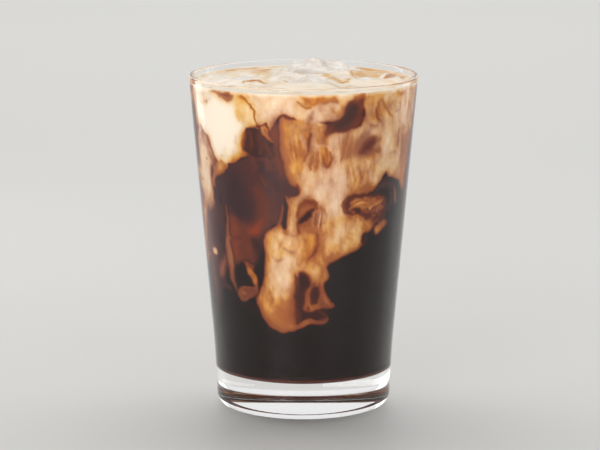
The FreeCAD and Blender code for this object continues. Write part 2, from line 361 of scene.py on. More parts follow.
def noise(x, y, seed):
    # gradient noise, about -1 to 1, with cells of size 1
    cellX, cellY = np.floor(x), np.floor(y)
    fx, fy = x - cellX, y - cellY

    def corner(dx, dy):
        mixed = np.sin((cellX + dx) * 127.1 + (cellY + dy) * 311.7 + seed * 74.7) * 43758.5453
        turn = (mixed - np.floor(mixed)) * 2 * np.pi
        return np.cos(turn) * (fx - dx) + np.sin(turn) * (fy - dy)

    u, v = (f**3 * (f * (f * 6 - 15) + 10) for f in (fx, fy))
    low = corner(0, 0) * (1 - u) + corner(1, 0) * u
    high = corner(0, 1) * (1 - u) + corner(1, 1) * u
    return (low * (1 - v) + high * v) * 1.5


def clouds(x, y, seed, count=3):
    return sum(0.55**i * noise(x * 2**i, y * 2**i, seed + 7 * i) for i in range(count))


def smooth(x):
    x = np.clip(x, 0, 1)
    return x * x * (3 - 2 * x)


def throughPoints(points, closed=False, steps=6):
    # a smooth line through the given points; any further columns, such as a width, go along
    p = np.array(points, float)
    if not closed:
        p = np.vstack([2 * p[0] - p[1], p, 2 * p[-1] - p[-2]])
    n = len(p)
    spans = range(n) if closed else range(1, n - 2)
    line = []
    for i in spans:
        a, b, c, d = p[i - 1], p[i], p[(i + 1) % n], p[(i + 2) % n]
        for t in np.arange(steps) / steps:
            line.append(
                b + 0.5 * t * (c - a + t * (2 * a - 5 * b + 4 * c - d + t * (3 * (b - c) + d - a)))
            )
    if not closed:
        line.append(p[-2])
    return np.array(line)


def newMap(across, up):
    # a flat map with every layer empty; a and z are where each of its cells reads the strokes
    a, z = np.meshgrid(across, up)
    paint = {name: np.zeros_like(a) for name in layerNames}
    paint["tone"] += 0.5
    paint["turnX"] -= 0.15  # fibres run up and down until a stroke turns them
    paint.update(a=a.copy(), z=z.copy(), across=across, up=up)
    return paint


def curl(paint, size, amount, seed):
    # carries the strokes along a flow of many crossed waves, without squeezing them
    chance = np.random.default_rng(seed)
    a, z = paint["a"], paint["z"]
    along, rise = np.zeros_like(a), np.zeros_like(z)
    for _ in range(curlWaves):
        turn, phase = chance.uniform(0, 2 * np.pi, 2)
        length = size * chance.uniform(0.7, 1.5)
        wave = np.cos(2 * np.pi * (a * np.cos(turn) + z * np.sin(turn)) / length + phase)
        along += np.sin(turn) * wave
        rise -= np.cos(turn) * wave
    paint["a"] = a + amount * along / curlWaves**0.5
    paint["z"] = z + amount * rise / curlWaves**0.5


def near(paint, line, reach):
    # the cells close enough to a line for its mark to touch them
    low, high = line[:, :2].min(0) - reach, line[:, :2].max(0) + reach
    a, z = paint["a"], paint["z"]
    return np.nonzero((a > low[0]) & (a < high[0]) & (z > low[1]) & (z < high[1]))


def layDown(paint, at, cover, look, turn):
    # mixes a mark's look into the layers; milk that comes without ice covers the ice
    cover = cover * look.get("strength", 1.0)
    goal = {name: look[name] for name in ("milk", "tone", "ice", "glow") if name in look}
    if "milk" in look:
        goal.setdefault("ice", 0.0)
    goal["grain"] = look.get("grain", 0.0)
    if turn is not None:
        goal["turnX"], goal["turnZ"] = turn
    for name, value in goal.items():
        paint[name][at] += cover * (value - paint[name][at])


def stroke(paint, points, **look):
    # a brush line through (angle, height, half width) points
    line = np.array(points, float)
    line[:, 0] *= paint.get("perDegree", 1.0)
    line = throughPoints(line)
    soft = look.get("soft", 0.8)
    at = near(paint, line, line[:, 2].max() + soft + 0.5)
    x, z = paint["a"][at], paint["z"][at]
    best = np.full(x.shape, 1e9)
    turnX, turnZ = np.zeros_like(x), np.zeros_like(x)
    for start, end in zip(line, line[1:]):
        dx, dz = (end - start)[:2]
        length = max(math.hypot(dx, dz), 1e-6)
        share = np.clip(((x - start[0]) * dx + (z - start[1]) * dz) / length**2, 0, 1)
        away = np.hypot(x - start[0] - share * dx, z - start[1] - share * dz)
        away = away - (start[2] + (end[2] - start[2]) * share)
        closer = away < best
        best = np.where(closer, away, best)
        turnX = np.where(closer, (dx * dx - dz * dz) / length**2, turnX)
        turnZ = np.where(closer, 2 * dx * dz / length**2, turnZ)
    best = best + look.get("rough", 0.0) * clouds(x / roughSize, z / roughSize, 91)
    layDown(paint, at, smooth(0.5 - best / soft), look, (turnX, turnZ))


def area(paint, points, **look):
    # a filled shape with a smooth outline through (angle, height) points
    line = np.array(points, float)
    line[:, 0] *= paint.get("perDegree", 1.0)
    line = throughPoints(line, closed=True)
    soft = look.get("soft", 0.8)
    at = near(paint, line, soft + 0.5)
    x, z = paint["a"][at], paint["z"][at]
    best, inside = np.full(x.shape, 1e9), np.zeros(x.shape, bool)
    for start, end in zip(line, np.roll(line, -1, 0)):
        dx, dz = end - start
        length = max(math.hypot(dx, dz), 1e-6)
        share = np.clip(((x - start[0]) * dx + (z - start[1]) * dz) / length**2, 0, 1)
        best = np.minimum(best, np.hypot(x - start[0] - share * dx, z - start[1] - share * dz))
        if dz:
            inside ^= ((start[1] > z) != (end[1] > z)) & (x < dx * (z - start[1]) / dz + start[0])
    best = np.where(inside, -best, best) + look.get("rough", 0.0) * clouds(x / roughSize, z / roughSize, 91)
    turn = None
    if "flow" in look:
        angle = math.radians(2 * look["flow"])
        turn = (math.cos(angle), math.sin(angle))
    layDown(paint, at, smooth(0.5 - best / soft), look, turn)


def readMap(paint, name, x, z):
    # a layer's value at each place, between the map's cells
    across, up, values = paint["across"], paint["up"], paint[name]
    column = np.clip((x - across[0]) / (across[1] - across[0]), 0, len(across) - 1.001)
    row = np.clip((z - up[0]) / (up[1] - up[0]), 0, len(up) - 1.001)
    i, j = column.astype(int), row.astype(int)
    u, v = column - i, row - j
    low = values[j, i] * (1 - u) + values[j, i + 1] * u
    return low * (1 - v) + (values[j + 1, i] * (1 - u) + values[j + 1, i + 1] * u) * v


def addFibres(paint):
    # fine streaks that follow the strokes: noise smeared along each cell's direction
    width, step = paintSizes["fibreWidth"], paintSizes["fibreStep"]
    half = 0.5 * np.arctan2(paint["turnZ"], paint["turnX"])
    paint["dirX"], paint["dirZ"] = np.cos(half), np.sin(half)
    x0, z0 = np.meshgrid(paint["across"], paint["up"])
    paint["speck"] = noise(x0 / width, z0 / width, 3)
    paint["speck"] += 0.6 * noise(x0 / width / 2.3, z0 / width / 2.3, 4)
    total = paint["speck"].copy()
    for way in (1, -1):
        x, z = x0.copy(), z0.copy()
        alongX, alongZ = paint["dirX"] * way, paint["dirZ"] * way
        for _ in range(int(paintSizes["fibreLength"] / step)):
            x, z = x + alongX * step, z + alongZ * step
            total += readMap(paint, "speck", x, z)
            nextX, nextZ = readMap(paint, "dirX", x, z), readMap(paint, "dirZ", x, z)
            flip = np.where(nextX * alongX + nextZ * alongZ < 0, -1, 1)
            length = np.hypot(nextX, nextZ) + 1e-6
            alongX, alongZ = nextX * flip / length, nextZ * flip / length
    fibre = total / total.std()
    paint["milk"] += paintSizes["fibreShade"] * paint["grain"] * fibre
    paint["glow"] += sum(
        amount * clouds(x0 / wide, z0 / high, seed, count) for amount, wide, high, seed, count in glowClouds
    )


def soften(values, cells):
    # a soft blur, some cells wide
    reach = int(3 * cells)
    weights = np.exp(-0.5 * (np.arange(-reach, reach + 1) / cells) ** 2)
    weights /= weights.sum()
    for _ in range(2):
        wide = np.pad(values, ((reach, reach), (0, 0)), "edge")
        values = sum(w * wide[i : i + len(values)] for i, w in enumerate(weights)).T
    return values


def addFringes(paint):
    # where cream meets brew its edge is stained orange and brown, and the brew beside it glows red
    s = fringeSizes
    around = soften(paint["milk"], s["width"] / paintSizes["rowStep"])
    edge = paint["milk"] - around
    creamy = smooth((paint["milk"] - s["creamFrom"]) / s["creamRange"])
    paint["milk"] -= s["stain"] * np.clip(edge, 0, 1) * creamy
    paint["tone"] -= s["gold"] * np.clip(edge, 0, 1) * creamy * paint["tone"]
    paint["milk"] += s["halo"] * np.clip(-edge, 0, 1) * (1 - creamy)


def addClouding(paint):
    # thicker and thinner places in the cream
    s, milk, swirled = lumps, paint["milk"], lumps["swirled"]
    x, z = np.meshgrid(paint["across"], paint["up"])
    x, z = (1 - swirled) * x + swirled * paint["a"], (1 - swirled) * z + swirled * paint["z"]
    body = smooth((milk - s["from"]) / s["range"]) * smooth((s["to"] - milk) / s["toRange"])
    lump = clouds(x / s["width"], z / s["height"], 33, 3)
    paint["milk"] += body * (s["shade"] * lump - s["darker"])
    paint["tone"] += body * s["tone"] * clouds(x / s["toneWidth"], z / s["toneHeight"], 35, 2)


def paintIceGlow(wall):
    # ice behind the brew, which glows through it in dark reds
    area(wall, [(-50, 99), (-40, 103), (-33, 105), (-29, 112), (-24, 119), (-14, 118), (-8, 108),
        (-3, 97), (-1, 91), (-6, 86), (-12, 82), (-18, 76), (-23, 70), (-28, 62), (-36, 58), (-44, 60),
        (-50, 68), (-54, 80), (-54, 92)], ice=1, glow=0.44, soft=4)
    area(wall, [(-66, 84), (-58, 96), (-50, 99), (-47, 88), (-50, 72), (-54, 58), (-60, 48), (-67, 50)],
        ice=0.85, glow=0.36, soft=6)
    stroke(wall, [(-42, 95, 4.5), (-39, 88, 5.0), (-35, 83, 3.6)], ice=1, glow=0.26, soft=6)
    area(wall, [(-28, 106), (-24, 112), (-18, 117), (-12, 119), (-10.6, 110), (-7, 100), (-2.4, 95),
        (-2, 90), (-6, 87), (-11, 90), (-17, 93), (-23, 96), (-28, 100)], ice=1, glow=0.60, soft=3.0,
        rough=0.9)
    stroke(wall, [(-20, 110, 2.4), (-15, 112, 2.0), (-13, 116, 1.2)], ice=1, glow=0.72, soft=3.5,
        rough=0.9)
    stroke(wall, [(-22, 100, 2.0), (-15, 97, 2.2), (-9, 93, 2.4), (-5, 91, 2.2)], ice=1, glow=0.36,
        soft=4, rough=1.4, strength=0.9)
    stroke(wall, [(-16, 105, 1.4), (-12, 103, 1.4), (-9, 99, 1.2)], ice=1, glow=0.68, soft=3.0, rough=1.2,
        strength=0.8)
    stroke(wall, [(-21, 106, 1.2), (-16, 101, 1.6), (-12, 97, 1.4)], ice=1, glow=0.46, soft=2.6,
        rough=1.6, strength=0.8)
    stroke(wall, [(-24, 103.6, 0.8), (-19, 98, 1.2), (-13, 94, 1.2), (-8, 91.6, 1.0)], ice=1, glow=0.30,
        soft=2.4, rough=1.6, strength=0.8)
    stroke(wall, [(-9, 94, 2.0), (-6.4, 91, 2.2), (-4, 93, 1.4)], ice=1, glow=0.40, soft=2.0, rough=0.6)
    stroke(wall, [(-18, 88, 3.0), (-14, 84, 2.6), (-14, 80, 1.6)], ice=1, glow=0.5, soft=4)
    stroke(wall, [(-24, 92, 2.0), (-22, 86, 2.4), (-23, 80, 2.6), (-27, 76.5, 2.6), (-33, 75, 2.0)],
        ice=1, glow=0.62, soft=5.5, rough=0.9)
    stroke(wall, [(-24, 79, 0.8), (-27, 76.5, 1.4), (-31, 75.4, 0.8)], ice=1, glow=0.95, soft=4)
    area(wall, [(-46, 80), (-36, 78), (-30, 72), (-30, 64), (-38, 62), (-45, 63)], ice=1, glow=0.64,
        soft=5, rough=0.5)
    stroke(wall, [(-43, 79, 1.4), (-41, 72, 2.0), (-42, 66, 1.4)], ice=1, glow=0.84, soft=4, strength=0.8)
    area(wall, [(-43, 62), (-36, 63), (-30, 61), (-27, 57), (-30, 53.4), (-36, 53), (-42, 54), (-44, 58)],
        milk=0.06, tone=0.3, soft=3)
    stroke(wall, [(-27, 72, 1.6), (-24.6, 66, 1.6), (-24, 58, 1.2)], milk=0.06, ice=0.4, soft=4)


def paintLeftStrip(wall):
    # the pale strip at the left
    area(wall, [(-100, 131), (-80, 131), (-68, 131), (-66, 118), (-61, 111), (-57, 106), (-57.5, 98),
        (-57.6, 92), (-57, 86), (-57, 83), (-61, 81.4), (-65, 79.4), (-67.4, 76), (-69, 71), (-72, 72),
        (-75, 80), (-80, 92), (-90, 100), (-100, 110)], milk=0.76, tone=0.85, soft=2.4, grain=0.02)
    stroke(wall, [(-64.6, 104, 1.6), (-64.4, 94, 2.0), (-63.4, 87, 2.2), (-64, 82.6, 1.2)], milk=0.84,
        tone=0.8, soft=3.5)
    stroke(wall, [(-74, 103, 1.4), (-75, 96, 1.6), (-77, 90, 1.4)], milk=0.56, tone=0.3, soft=3.0)
    stroke(wall, [(-79, 96, 1.2), (-73, 93, 1.0), (-70, 92, 0.5)], milk=0.5, tone=0.1, soft=2.2)
    area(wall, [(-112, 129), (-78, 129), (-72.6, 127), (-71, 119), (-71.8, 112), (-72.6, 104),
        (-75, 98.6), (-82, 96.6), (-112, 98)], milk=0.2, tone=0.35, soft=2.6)
    stroke(wall, [(-74.6, 126.6, 0.9), (-80, 124, 1.8), (-90, 125, 2.4), (-98, 129, 2.4)], milk=0.58,
        tone=0.1, soft=3)
    stroke(wall, [(-76, 95, 1.0), (-81, 95, 1.4), (-85, 97, 0.5)], milk=0.6, tone=0.3, soft=2.4)
    area(wall, [(-80, 91), (-74, 90), (-72, 84), (-75, 78), (-80, 76), (-90, 78), (-92, 88)], milk=0.3,
        tone=0.4, soft=3.0)
    area(wall, [(-69, 115), (-64, 113), (-60, 110.6), (-55.6, 108), (-53, 103), (-54, 97), (-57, 94),
        (-60, 96), (-63, 102), (-68, 108)], milk=0.60, tone=1.0, soft=3.0, grain=0.03)
    stroke(wall, [(-69, 114, 1.0), (-64, 112.4, 1.6), (-61, 111.4, 0.7)], milk=0.42, tone=1.0, soft=2.6)
    stroke(wall, [(-68, 108, 1.2), (-63, 108.4, 1.0)], milk=0.66, tone=1.0, soft=2.4)
    stroke(wall, [(-66, 105.4, 1.2), (-61, 104, 1.8), (-63, 99, 1.6)], milk=0.82, tone=0.95, soft=3.0)
    stroke(wall, [(-60, 109.6, 0.7), (-57, 108.6, 1.3), (-54.6, 106.2, 0.8)], milk=0.36, tone=0.45,
        soft=1.8)
    stroke(wall, [(-54.6, 106, 0.6), (-53.4, 103.4, 0.9), (-54.6, 100, 1.0)], milk=0.34, tone=0.95,
        soft=2.4)
    stroke(wall, [(-57.4, 99, 0.6), (-57, 96.4, 0.9), (-57.6, 94.6, 0.6)], milk=0.16, tone=0.8, soft=1.6)
    stroke(wall, [(-62.6, 101.4, 0.35), (-61.8, 101.2, 0.35)], milk=0.4, tone=0.6, soft=0.9)
    stroke(wall, [(-55.6, 92, 0.9), (-55, 95, 1.0), (-53, 97, 0.8)], milk=0.6, tone=0.75, soft=1.8)
    area(wall, [(-54, 98), (-52, 101), (-49, 102.4), (-45, 102.4), (-43, 100.4), (-46, 98), (-50, 96.6),
        (-53, 96.4)], milk=0.6, tone=0.3, soft=1.8, grain=0.03)
    stroke(wall, [(-52.6, 97.2, 0.5), (-49, 98, 0.7), (-45.6, 99.6, 0.5)], milk=0.52, tone=0.1, soft=1.6)


def paintBrightLobe(wall):
    # the big bright lobe
    area(wall, [(-70, 133), (-69, 122), (-67.4, 116), (-64, 113.4), (-60.6, 111.6), (-57, 109.6),
        (-54.8, 107), (-53, 103.6), (-51, 101.8), (-47.5, 102.3), (-44.5, 101.6), (-42, 102),
        (-38, 102.8), (-34, 104.0), (-30.6, 105.3), (-29.3, 107), (-31, 106.6), (-32.6, 108.3),
        (-32.2, 111.5), (-31.2, 114.4), (-29, 116.4), (-25.5, 117.2), (-22.3, 117.4), (-22, 122),
        (-24, 133)], milk=0.99, tone=0.4, soft=1.0)
    stroke(wall, [(-47, 104, 0.8), (-43.6, 104.6, 1.2), (-43.2, 107, 0.6)], milk=0.82, tone=0.2, soft=2.6)
    stroke(wall, [(-43, 103, 0.5), (-39, 103.8, 1.3), (-34.6, 105.2, 1.2), (-31, 106.4, 0.6)], milk=0.68,
        tone=0.0, soft=1.8)
    stroke(wall, [(-41, 102.6, 0.4), (-37, 103.6, 0.5), (-33, 105, 0.5)], milk=0.58, tone=0.0, soft=1.4)
    stroke(wall, [(-32.4, 114.6, 0.5), (-32.8, 111, 0.6), (-32.4, 107.6, 0.5)], milk=0.62, tone=0.2,
        soft=2.0)
    stroke(wall, [(-35, 112, 0.8), (-36, 108, 0.8)], milk=0.9, tone=0.1, soft=3.0)
    stroke(wall, [(-36.6, 112.6, 0.4), (-36.2, 110.4, 0.6)], milk=0.84, tone=0.9, soft=1.6)
    stroke(wall, [(-38, 106.8, 0.5), (-37, 105.8, 0.5)], milk=0.86, tone=0.9, soft=1.6)
    stroke(wall, [(-63, 124.8, 0.6), (-58, 124.4, 1.2), (-53, 126, 0.6)], milk=0.8, tone=0.95, soft=2.6)
    stroke(wall, [(-57.4, 124.6, 0.3), (-56.4, 124.2, 0.4)], milk=0.6, tone=0.9, soft=1.0)
    stroke(wall, [(-68, 127, 1.4), (-60, 127.4, 1.0), (-52, 127.6, 0.5)], milk=0.82, tone=1.0, soft=2.6)
    stroke(wall, [(-71.6, 125, 1.6), (-70.6, 119, 1.4), (-69.4, 115, 1.2)], milk=0.76, tone=1.0, soft=3.5)
    stroke(wall, [(-66, 116.6, 0.8), (-63, 116, 0.6)], milk=0.88, tone=1.0, soft=2.4)
    area(wall, [(-33, 104.8), (-30, 106), (-27.6, 107.4), (-26.6, 107.6), (-28.4, 105.8)], milk=0.6,
        tone=0.1, soft=1.0)


def paintGoldenFold(wall):
    # red-brown streak and golden fold along the top
    stroke(wall, [(-52, 128.6, 0.4), (-45, 128.2, 1.2), (-39, 127.6, 1.8), (-34.6, 128.2, 1.0)],
        milk=0.50, tone=0.8, soft=2.2)
    stroke(wall, [(-46, 129.4, 0.5), (-41, 128.8, 1.1), (-35, 129, 0.7)], milk=0.30, tone=0.6, soft=1.6)
    stroke(wall, [(-40.6, 127, 0.5), (-38.6, 126.4, 0.6), (-37, 126.8, 0.4)], milk=0.44, tone=0.6,
        soft=1.4)
    area(wall, [(-36, 120), (-35.6, 126), (-33.6, 131), (-29.6, 131), (-26.4, 126), (-24, 122),
        (-23.6, 118.2), (-28, 117), (-32, 117.4)], milk=0.80, tone=0.05, soft=2.2)
    stroke(wall, [(-34.4, 119, 0.6), (-33.4, 124, 0.9), (-32, 128, 1.2)], milk=0.70, tone=0.0, soft=2.4)
    stroke(wall, [(-33, 130, 0.9), (-31.4, 128.4, 1.0), (-30, 127.4, 0.5)], milk=0.60, tone=0.0, soft=2.0)
    stroke(wall, [(-30.6, 124, 0.5), (-30, 119.6, 0.5)], milk=0.87, tone=0.2, soft=2.0)
    stroke(wall, [(-31.2, 129, 0.25), (-27.4, 125.6, 0.35), (-24.8, 122.4, 0.42), (-24.2, 119.6, 0.36),
        (-22.2, 117.6, 0.3)], milk=0.26, tone=0.15, soft=1.0)
    stroke(wall, [(-28.6, 129.4, 0.4), (-25, 125.6, 0.5), (-23, 122.6, 0.4)], milk=0.66, tone=0.2,
        soft=1.6)


def paintPocket(wall):
    # dark pocket under the fold
    area(wall, [(-30.6, 106.4), (-31.4, 108.4), (-30.4, 110), (-31, 113), (-29.6, 115.8), (-26.6, 116),
        (-25, 117.2), (-22, 116.4), (-20.4, 117.2), (-19, 113.4), (-16, 111), (-17, 107), (-22, 105),
        (-27, 105.6)], ice=0.3, glow=0.40, milk=0.14, tone=0.35, soft=1.8, rough=0.7, grain=0.03)
    stroke(wall, [(-30.8, 114, 0.5), (-31.2, 109.4, 0.6)], milk=0.36, tone=0.05, soft=1.8)
    stroke(wall, [(-27.4, 114.6, 0.4), (-26.6, 111.4, 0.6), (-27.4, 108, 0.5)], milk=0.26, tone=0.1,
        soft=1.8)
    stroke(wall, [(-24, 115, 0.5), (-22, 111.4, 0.8), (-22.4, 107, 0.8)], milk=0.24, tone=0.15, soft=2.6)
    stroke(wall, [(-19, 110, 0.8), (-17, 106, 1.2)], milk=0.24, tone=0.1, soft=3.0)


def paintMiddleLobe(wall):
    # middle lobe with its tongue and golden hook
    area(wall, [(-24, 133), (-23.6, 124), (-23, 120.5), (-22.2, 118.4), (-20, 117.6), (-18, 118.2),
        (-17.2, 117.3), (-16.8, 115.4), (-15.2, 117), (-13.4, 119.2), (-11.4, 121.4), (-8, 122),
        (-4.4, 121.2), (-1, 119.4), (3, 119.8), (6, 122), (8, 133)], milk=0.79, tone=0.72, soft=0.9)
    area(wall, [(-22, 130), (-21.6, 124), (-16, 122), (-10, 124), (-8, 130)], milk=0.83, tone=0.6, soft=4)
    area(wall, [(-18, 120), (-14, 124), (-9, 124.6), (-8, 122.6), (-12, 121.6), (-15, 118)], milk=0.74,
        tone=0.95, soft=2.6)
    stroke(wall, [(-6, 128.6, 1.6), (-3, 124, 1.6), (0, 121.4, 1.2)], milk=0.76, tone=0.6, soft=3.0)
    stroke(wall, [(-13, 123.8, 0.3), (-11.6, 122.6, 0.3)], milk=0.66, tone=1.0, soft=1.2)
    stroke(wall, [(-20.2, 118.0, 0.7), (-20.6, 115.6, 0.7), (-19.2, 113.6, 0.7), (-16.6, 112.2, 0.45),
        (-14.6, 111.2, 0.25)], milk=0.79, tone=0.2, soft=1.1)
    stroke(wall, [(-19.4, 117.2, 0.5), (-18.4, 115.8, 0.6), (-18, 114.2, 0.4)], milk=0.54, tone=0.0,
        soft=1.0)
    stroke(wall, [(-24, 117.8, 0.35), (-21, 117.6, 0.4), (-18, 118.2, 0.3)], milk=0.14, tone=0.1,
        soft=0.9)


def paintMainPlume(wall):
    # the main plume, with a paler band down its middle
    area(wall, [(-2, 119), (4, 120.4), (11, 118), (20, 116.2), (29, 117.2), (33, 121), (40, 120),
        (47, 113), (47, 104), (44, 98), (41, 93.6), (31, 91), (26, 90.5), (22.0, 87.6), (22.4, 84),
        (26, 81.8), (32, 80.6), (38, 79.5), (40.6, 77), (38, 75), (36, 73.6), (35.4, 70.6), (32.4, 68.9),
        (27, 67.4), (20, 65.9), (15.4, 64), (13, 61.6), (12, 58.4), (8, 60), (2, 61), (-6, 66), (-10, 72),
        (-4, 78), (-7, 84), (-9, 88), (-4.4, 92), (-1, 98), (0, 108)], milk=0.69, tone=0.85, soft=1.2,
        flow=95, grain=0.04)
    stroke(wall, [(13.6, 113, 1.0), (16.6, 107, 2.2), (17, 100, 3.2), (16, 92, 3.4), (17, 84, 2.8)],
        milk=0.765, tone=0.95, soft=4.5, grain=0.03)
    stroke(wall, [(2, 97, 2.0), (6, 93, 3.0), (11, 88, 2.0)], milk=0.77, tone=0.85, soft=4)
    area(wall, [(20, 104), (28, 105), (36, 104), (40, 100), (40, 95), (36, 92), (28, 91.6), (23.6, 93),
        (21.5, 98)], milk=0.64, tone=0.55, soft=4, flow=108, grain=0.05)
    stroke(wall, [(24, 103, 0.6), (26, 97, 0.7), (25.6, 92.6, 0.6)], milk=0.6, tone=0.3, soft=2.4,
        grain=0.05)
    stroke(wall, [(33, 98, 0.8), (29, 94, 0.9), (25.6, 89.6, 0.6)], milk=0.56, tone=0.4, soft=2.4,
        grain=0.05)
    area(wall, [(10, 80), (20, 82), (28, 80.6), (36, 79), (38, 76), (35.6, 73), (34.6, 70.4), (28, 68.2),
        (20, 66.6), (13, 63.6), (8, 66), (9, 73)], milk=0.655, tone=0.30, soft=3.0, flow=148, grain=0.05)
    stroke(wall, [(30, 78, 1.6), (22, 76, 2.2), (14, 74, 1.8)], milk=0.70, tone=0.45, soft=4)
    stroke(wall, [(32, 72, 1.2), (25, 70, 1.2), (18, 69, 0.9)], milk=0.68, tone=0.2, soft=3)
    stroke(wall, [(34.6, 70.4, 0.6), (27, 68, 0.8), (20, 66.6, 1.0), (15, 64.4, 0.9)], milk=0.56,
        tone=0.2, soft=2.2)
    stroke(wall, [(16, 66, 1.0), (13, 64, 1.4), (11.6, 67, 1.0), (10, 71, 0.8)], milk=0.45, tone=0.3,
        soft=2.8)
    stroke(wall, [(11, 76, 1.2), (10.6, 80, 1.0)], milk=0.6, tone=0.4, soft=3)


def paintPlumeSide(wall):
    # the main plume's golden left side
    area(wall, [(-10.8, 119.4), (-9.4, 121), (-5, 120.6), (0, 120), (4.6, 118), (4, 112), (2, 105),
        (-1, 98), (-4, 94), (-3, 91), (-5.6, 95), (-8.8, 99.5), (-11, 104), (-12.4, 108), (-12, 114)],
        milk=0.56, tone=0.18, soft=2.2, flow=100, grain=0.05)
    stroke(wall, [(-9, 119, 0.9), (-8.4, 115, 1.2), (-8.6, 110, 0.9)], milk=0.52, tone=0.0, soft=2.6)
    stroke(wall, [(-3, 118, 1.2), (-4.4, 112, 1.4), (-3.4, 105, 1.0)], milk=0.61, tone=0.25, soft=3.0,
        grain=0.05)
    stroke(wall, [(-11, 113, 0.6), (-10.8, 107, 0.8), (-8.6, 101.6, 0.8), (-5, 96.4, 0.6), (-3, 93, 0.5)],
        milk=0.44, tone=0.3, soft=2.2)
    stroke(wall, [(-5.4, 103, 0.6), (-3, 98.6, 0.8), (-1, 95.4, 0.6)], milk=0.64, tone=0.3, soft=2.2)
    stroke(wall, [(-11.4, 121, 0.25), (-8.6, 121.8, 0.35), (-5, 121.1, 0.3), (-4, 120.6, 0.15)],
        milk=0.16, tone=0.1, soft=0.8)


def paintStrands(wall):
    # strands and pockets in the main plume's upper part
    stroke(wall, [(-4, 117.4, 0.8), (0, 117, 1.0), (5, 118, 0.9)], milk=0.6, tone=0.4, soft=2.2)
    stroke(wall, [(13, 117, 0.9), (11.4, 114.6, 1.2), (10.6, 111, 0.9)], milk=0.40, tone=0.35, soft=2.2)
    stroke(wall, [(7.6, 117, 0.9), (7.8, 113.4, 0.8), (8.4, 110.6, 0.4)], milk=0.50, tone=0.25, soft=1.6)
    stroke(wall, [(-0.6, 114, 0.6), (0.8, 111, 0.9), (1.6, 108.4, 0.5), (1.2, 106.4, 0.2)], milk=0.74,
        tone=0.95, soft=1.1)
    stroke(wall, [(3.8, 114.6, 0.5), (3.4, 111.4, 0.8), (2.4, 108.4, 0.5), (0.8, 106.2, 0.35),
        (-0.2, 104.6, 0.2)], milk=0.25, tone=0.45, soft=1.1)
    stroke(wall, [(6, 114, 0.8), (5.2, 110.6, 0.6), (3.4, 108, 0.5), (1.6, 105.6, 0.4),
        (0.8, 102.6, 0.3)], milk=0.74, tone=0.85, soft=1.1)
    stroke(wall, [(-2, 112, 0.5), (-1.6, 108.6, 0.6), (-0.4, 105, 0.4)], milk=0.46, tone=0.25, soft=1.3)
    area(wall, [(2.4, 104), (3.6, 107.2), (6.4, 108.2), (8.4, 105.4), (8.4, 101.6), (6.4, 99.6),
        (3.6, 100.6)], milk=0.53, tone=0.4, soft=1.6, flow=90, grain=0.10)
    stroke(wall, [(4.2, 106.4, 0.3), (3.4, 103, 0.5), (3.4, 100.8, 0.3)], milk=0.38, tone=0.4, soft=1.2)
    stroke(wall, [(7.2, 104.6, 0.3), (6.8, 101.4, 0.4)], milk=0.40, tone=0.3, soft=1.1)
    area(wall, [(8, 108.6), (10.6, 109.8), (13.4, 108), (14.2, 104.6), (13, 101.4), (10.6, 102),
        (8.8, 104.6)], milk=0.54, tone=0.05, soft=1.2, flow=90, grain=0.05)
    stroke(wall, [(9.6, 105, 0.3), (10.8, 102.4, 0.5), (12.6, 101.9, 0.7), (13.8, 104.4, 0.5),
        (13.4, 107.4, 0.35)], milk=0.31, tone=0.3, soft=1.1)
    stroke(wall, [(11.2, 108.6, 0.3), (11.6, 105.6, 0.4)], milk=0.37, tone=0.15, soft=0.9)
    stroke(wall, [(7, 109.2, 0.3), (9, 109.8, 0.4), (10.6, 110.2, 0.3)], milk=0.76, tone=0.8, soft=0.9)
    stroke(wall, [(12.6, 112, 0.6), (12.4, 110, 0.5)], milk=0.54, tone=0.3, soft=1.4)


def paintShadows(wall):
    # brown shadows to the right of the bright band
    area(wall, [(20.6, 112), (22.6, 114.6), (27, 114), (28, 108), (26, 104.6), (21, 104.4), (19.4, 107)],
        milk=0.53, tone=0.5, soft=3.2, flow=80, grain=0.04)
    stroke(wall, [(22, 112, 0.5), (20.8, 107.6, 0.6), (20, 104.6, 0.6)], milk=0.42, tone=0.45, soft=2.0)
    area(wall, [(28, 112), (32, 113.6), (38, 112.6), (41, 110.6), (41.6, 107), (37, 104.6), (30, 105),
        (27, 108)], milk=0.47, tone=0.9, soft=4.0)
    stroke(wall, [(31, 106.4, 1.0), (34, 108.4, 2.2), (38, 111, 1.4)], milk=0.26, tone=0.75, soft=4)
    stroke(wall, [(35, 106.4, 0.5), (38, 107.4, 0.4), (41, 106.2, 0.8), (43.6, 106.6, 0.7)], milk=0.40,
        tone=0.5, soft=2.0)
    stroke(wall, [(34, 104, 0.6), (38, 104.6, 0.6), (41, 104.6, 0.4)], milk=0.56, tone=0.2, soft=2.0)
    stroke(wall, [(43, 109.8, 0.6), (41.2, 109.2, 0.5), (38.8, 108.6, 0.2)], milk=0.72, tone=0.85,
        soft=1.4)


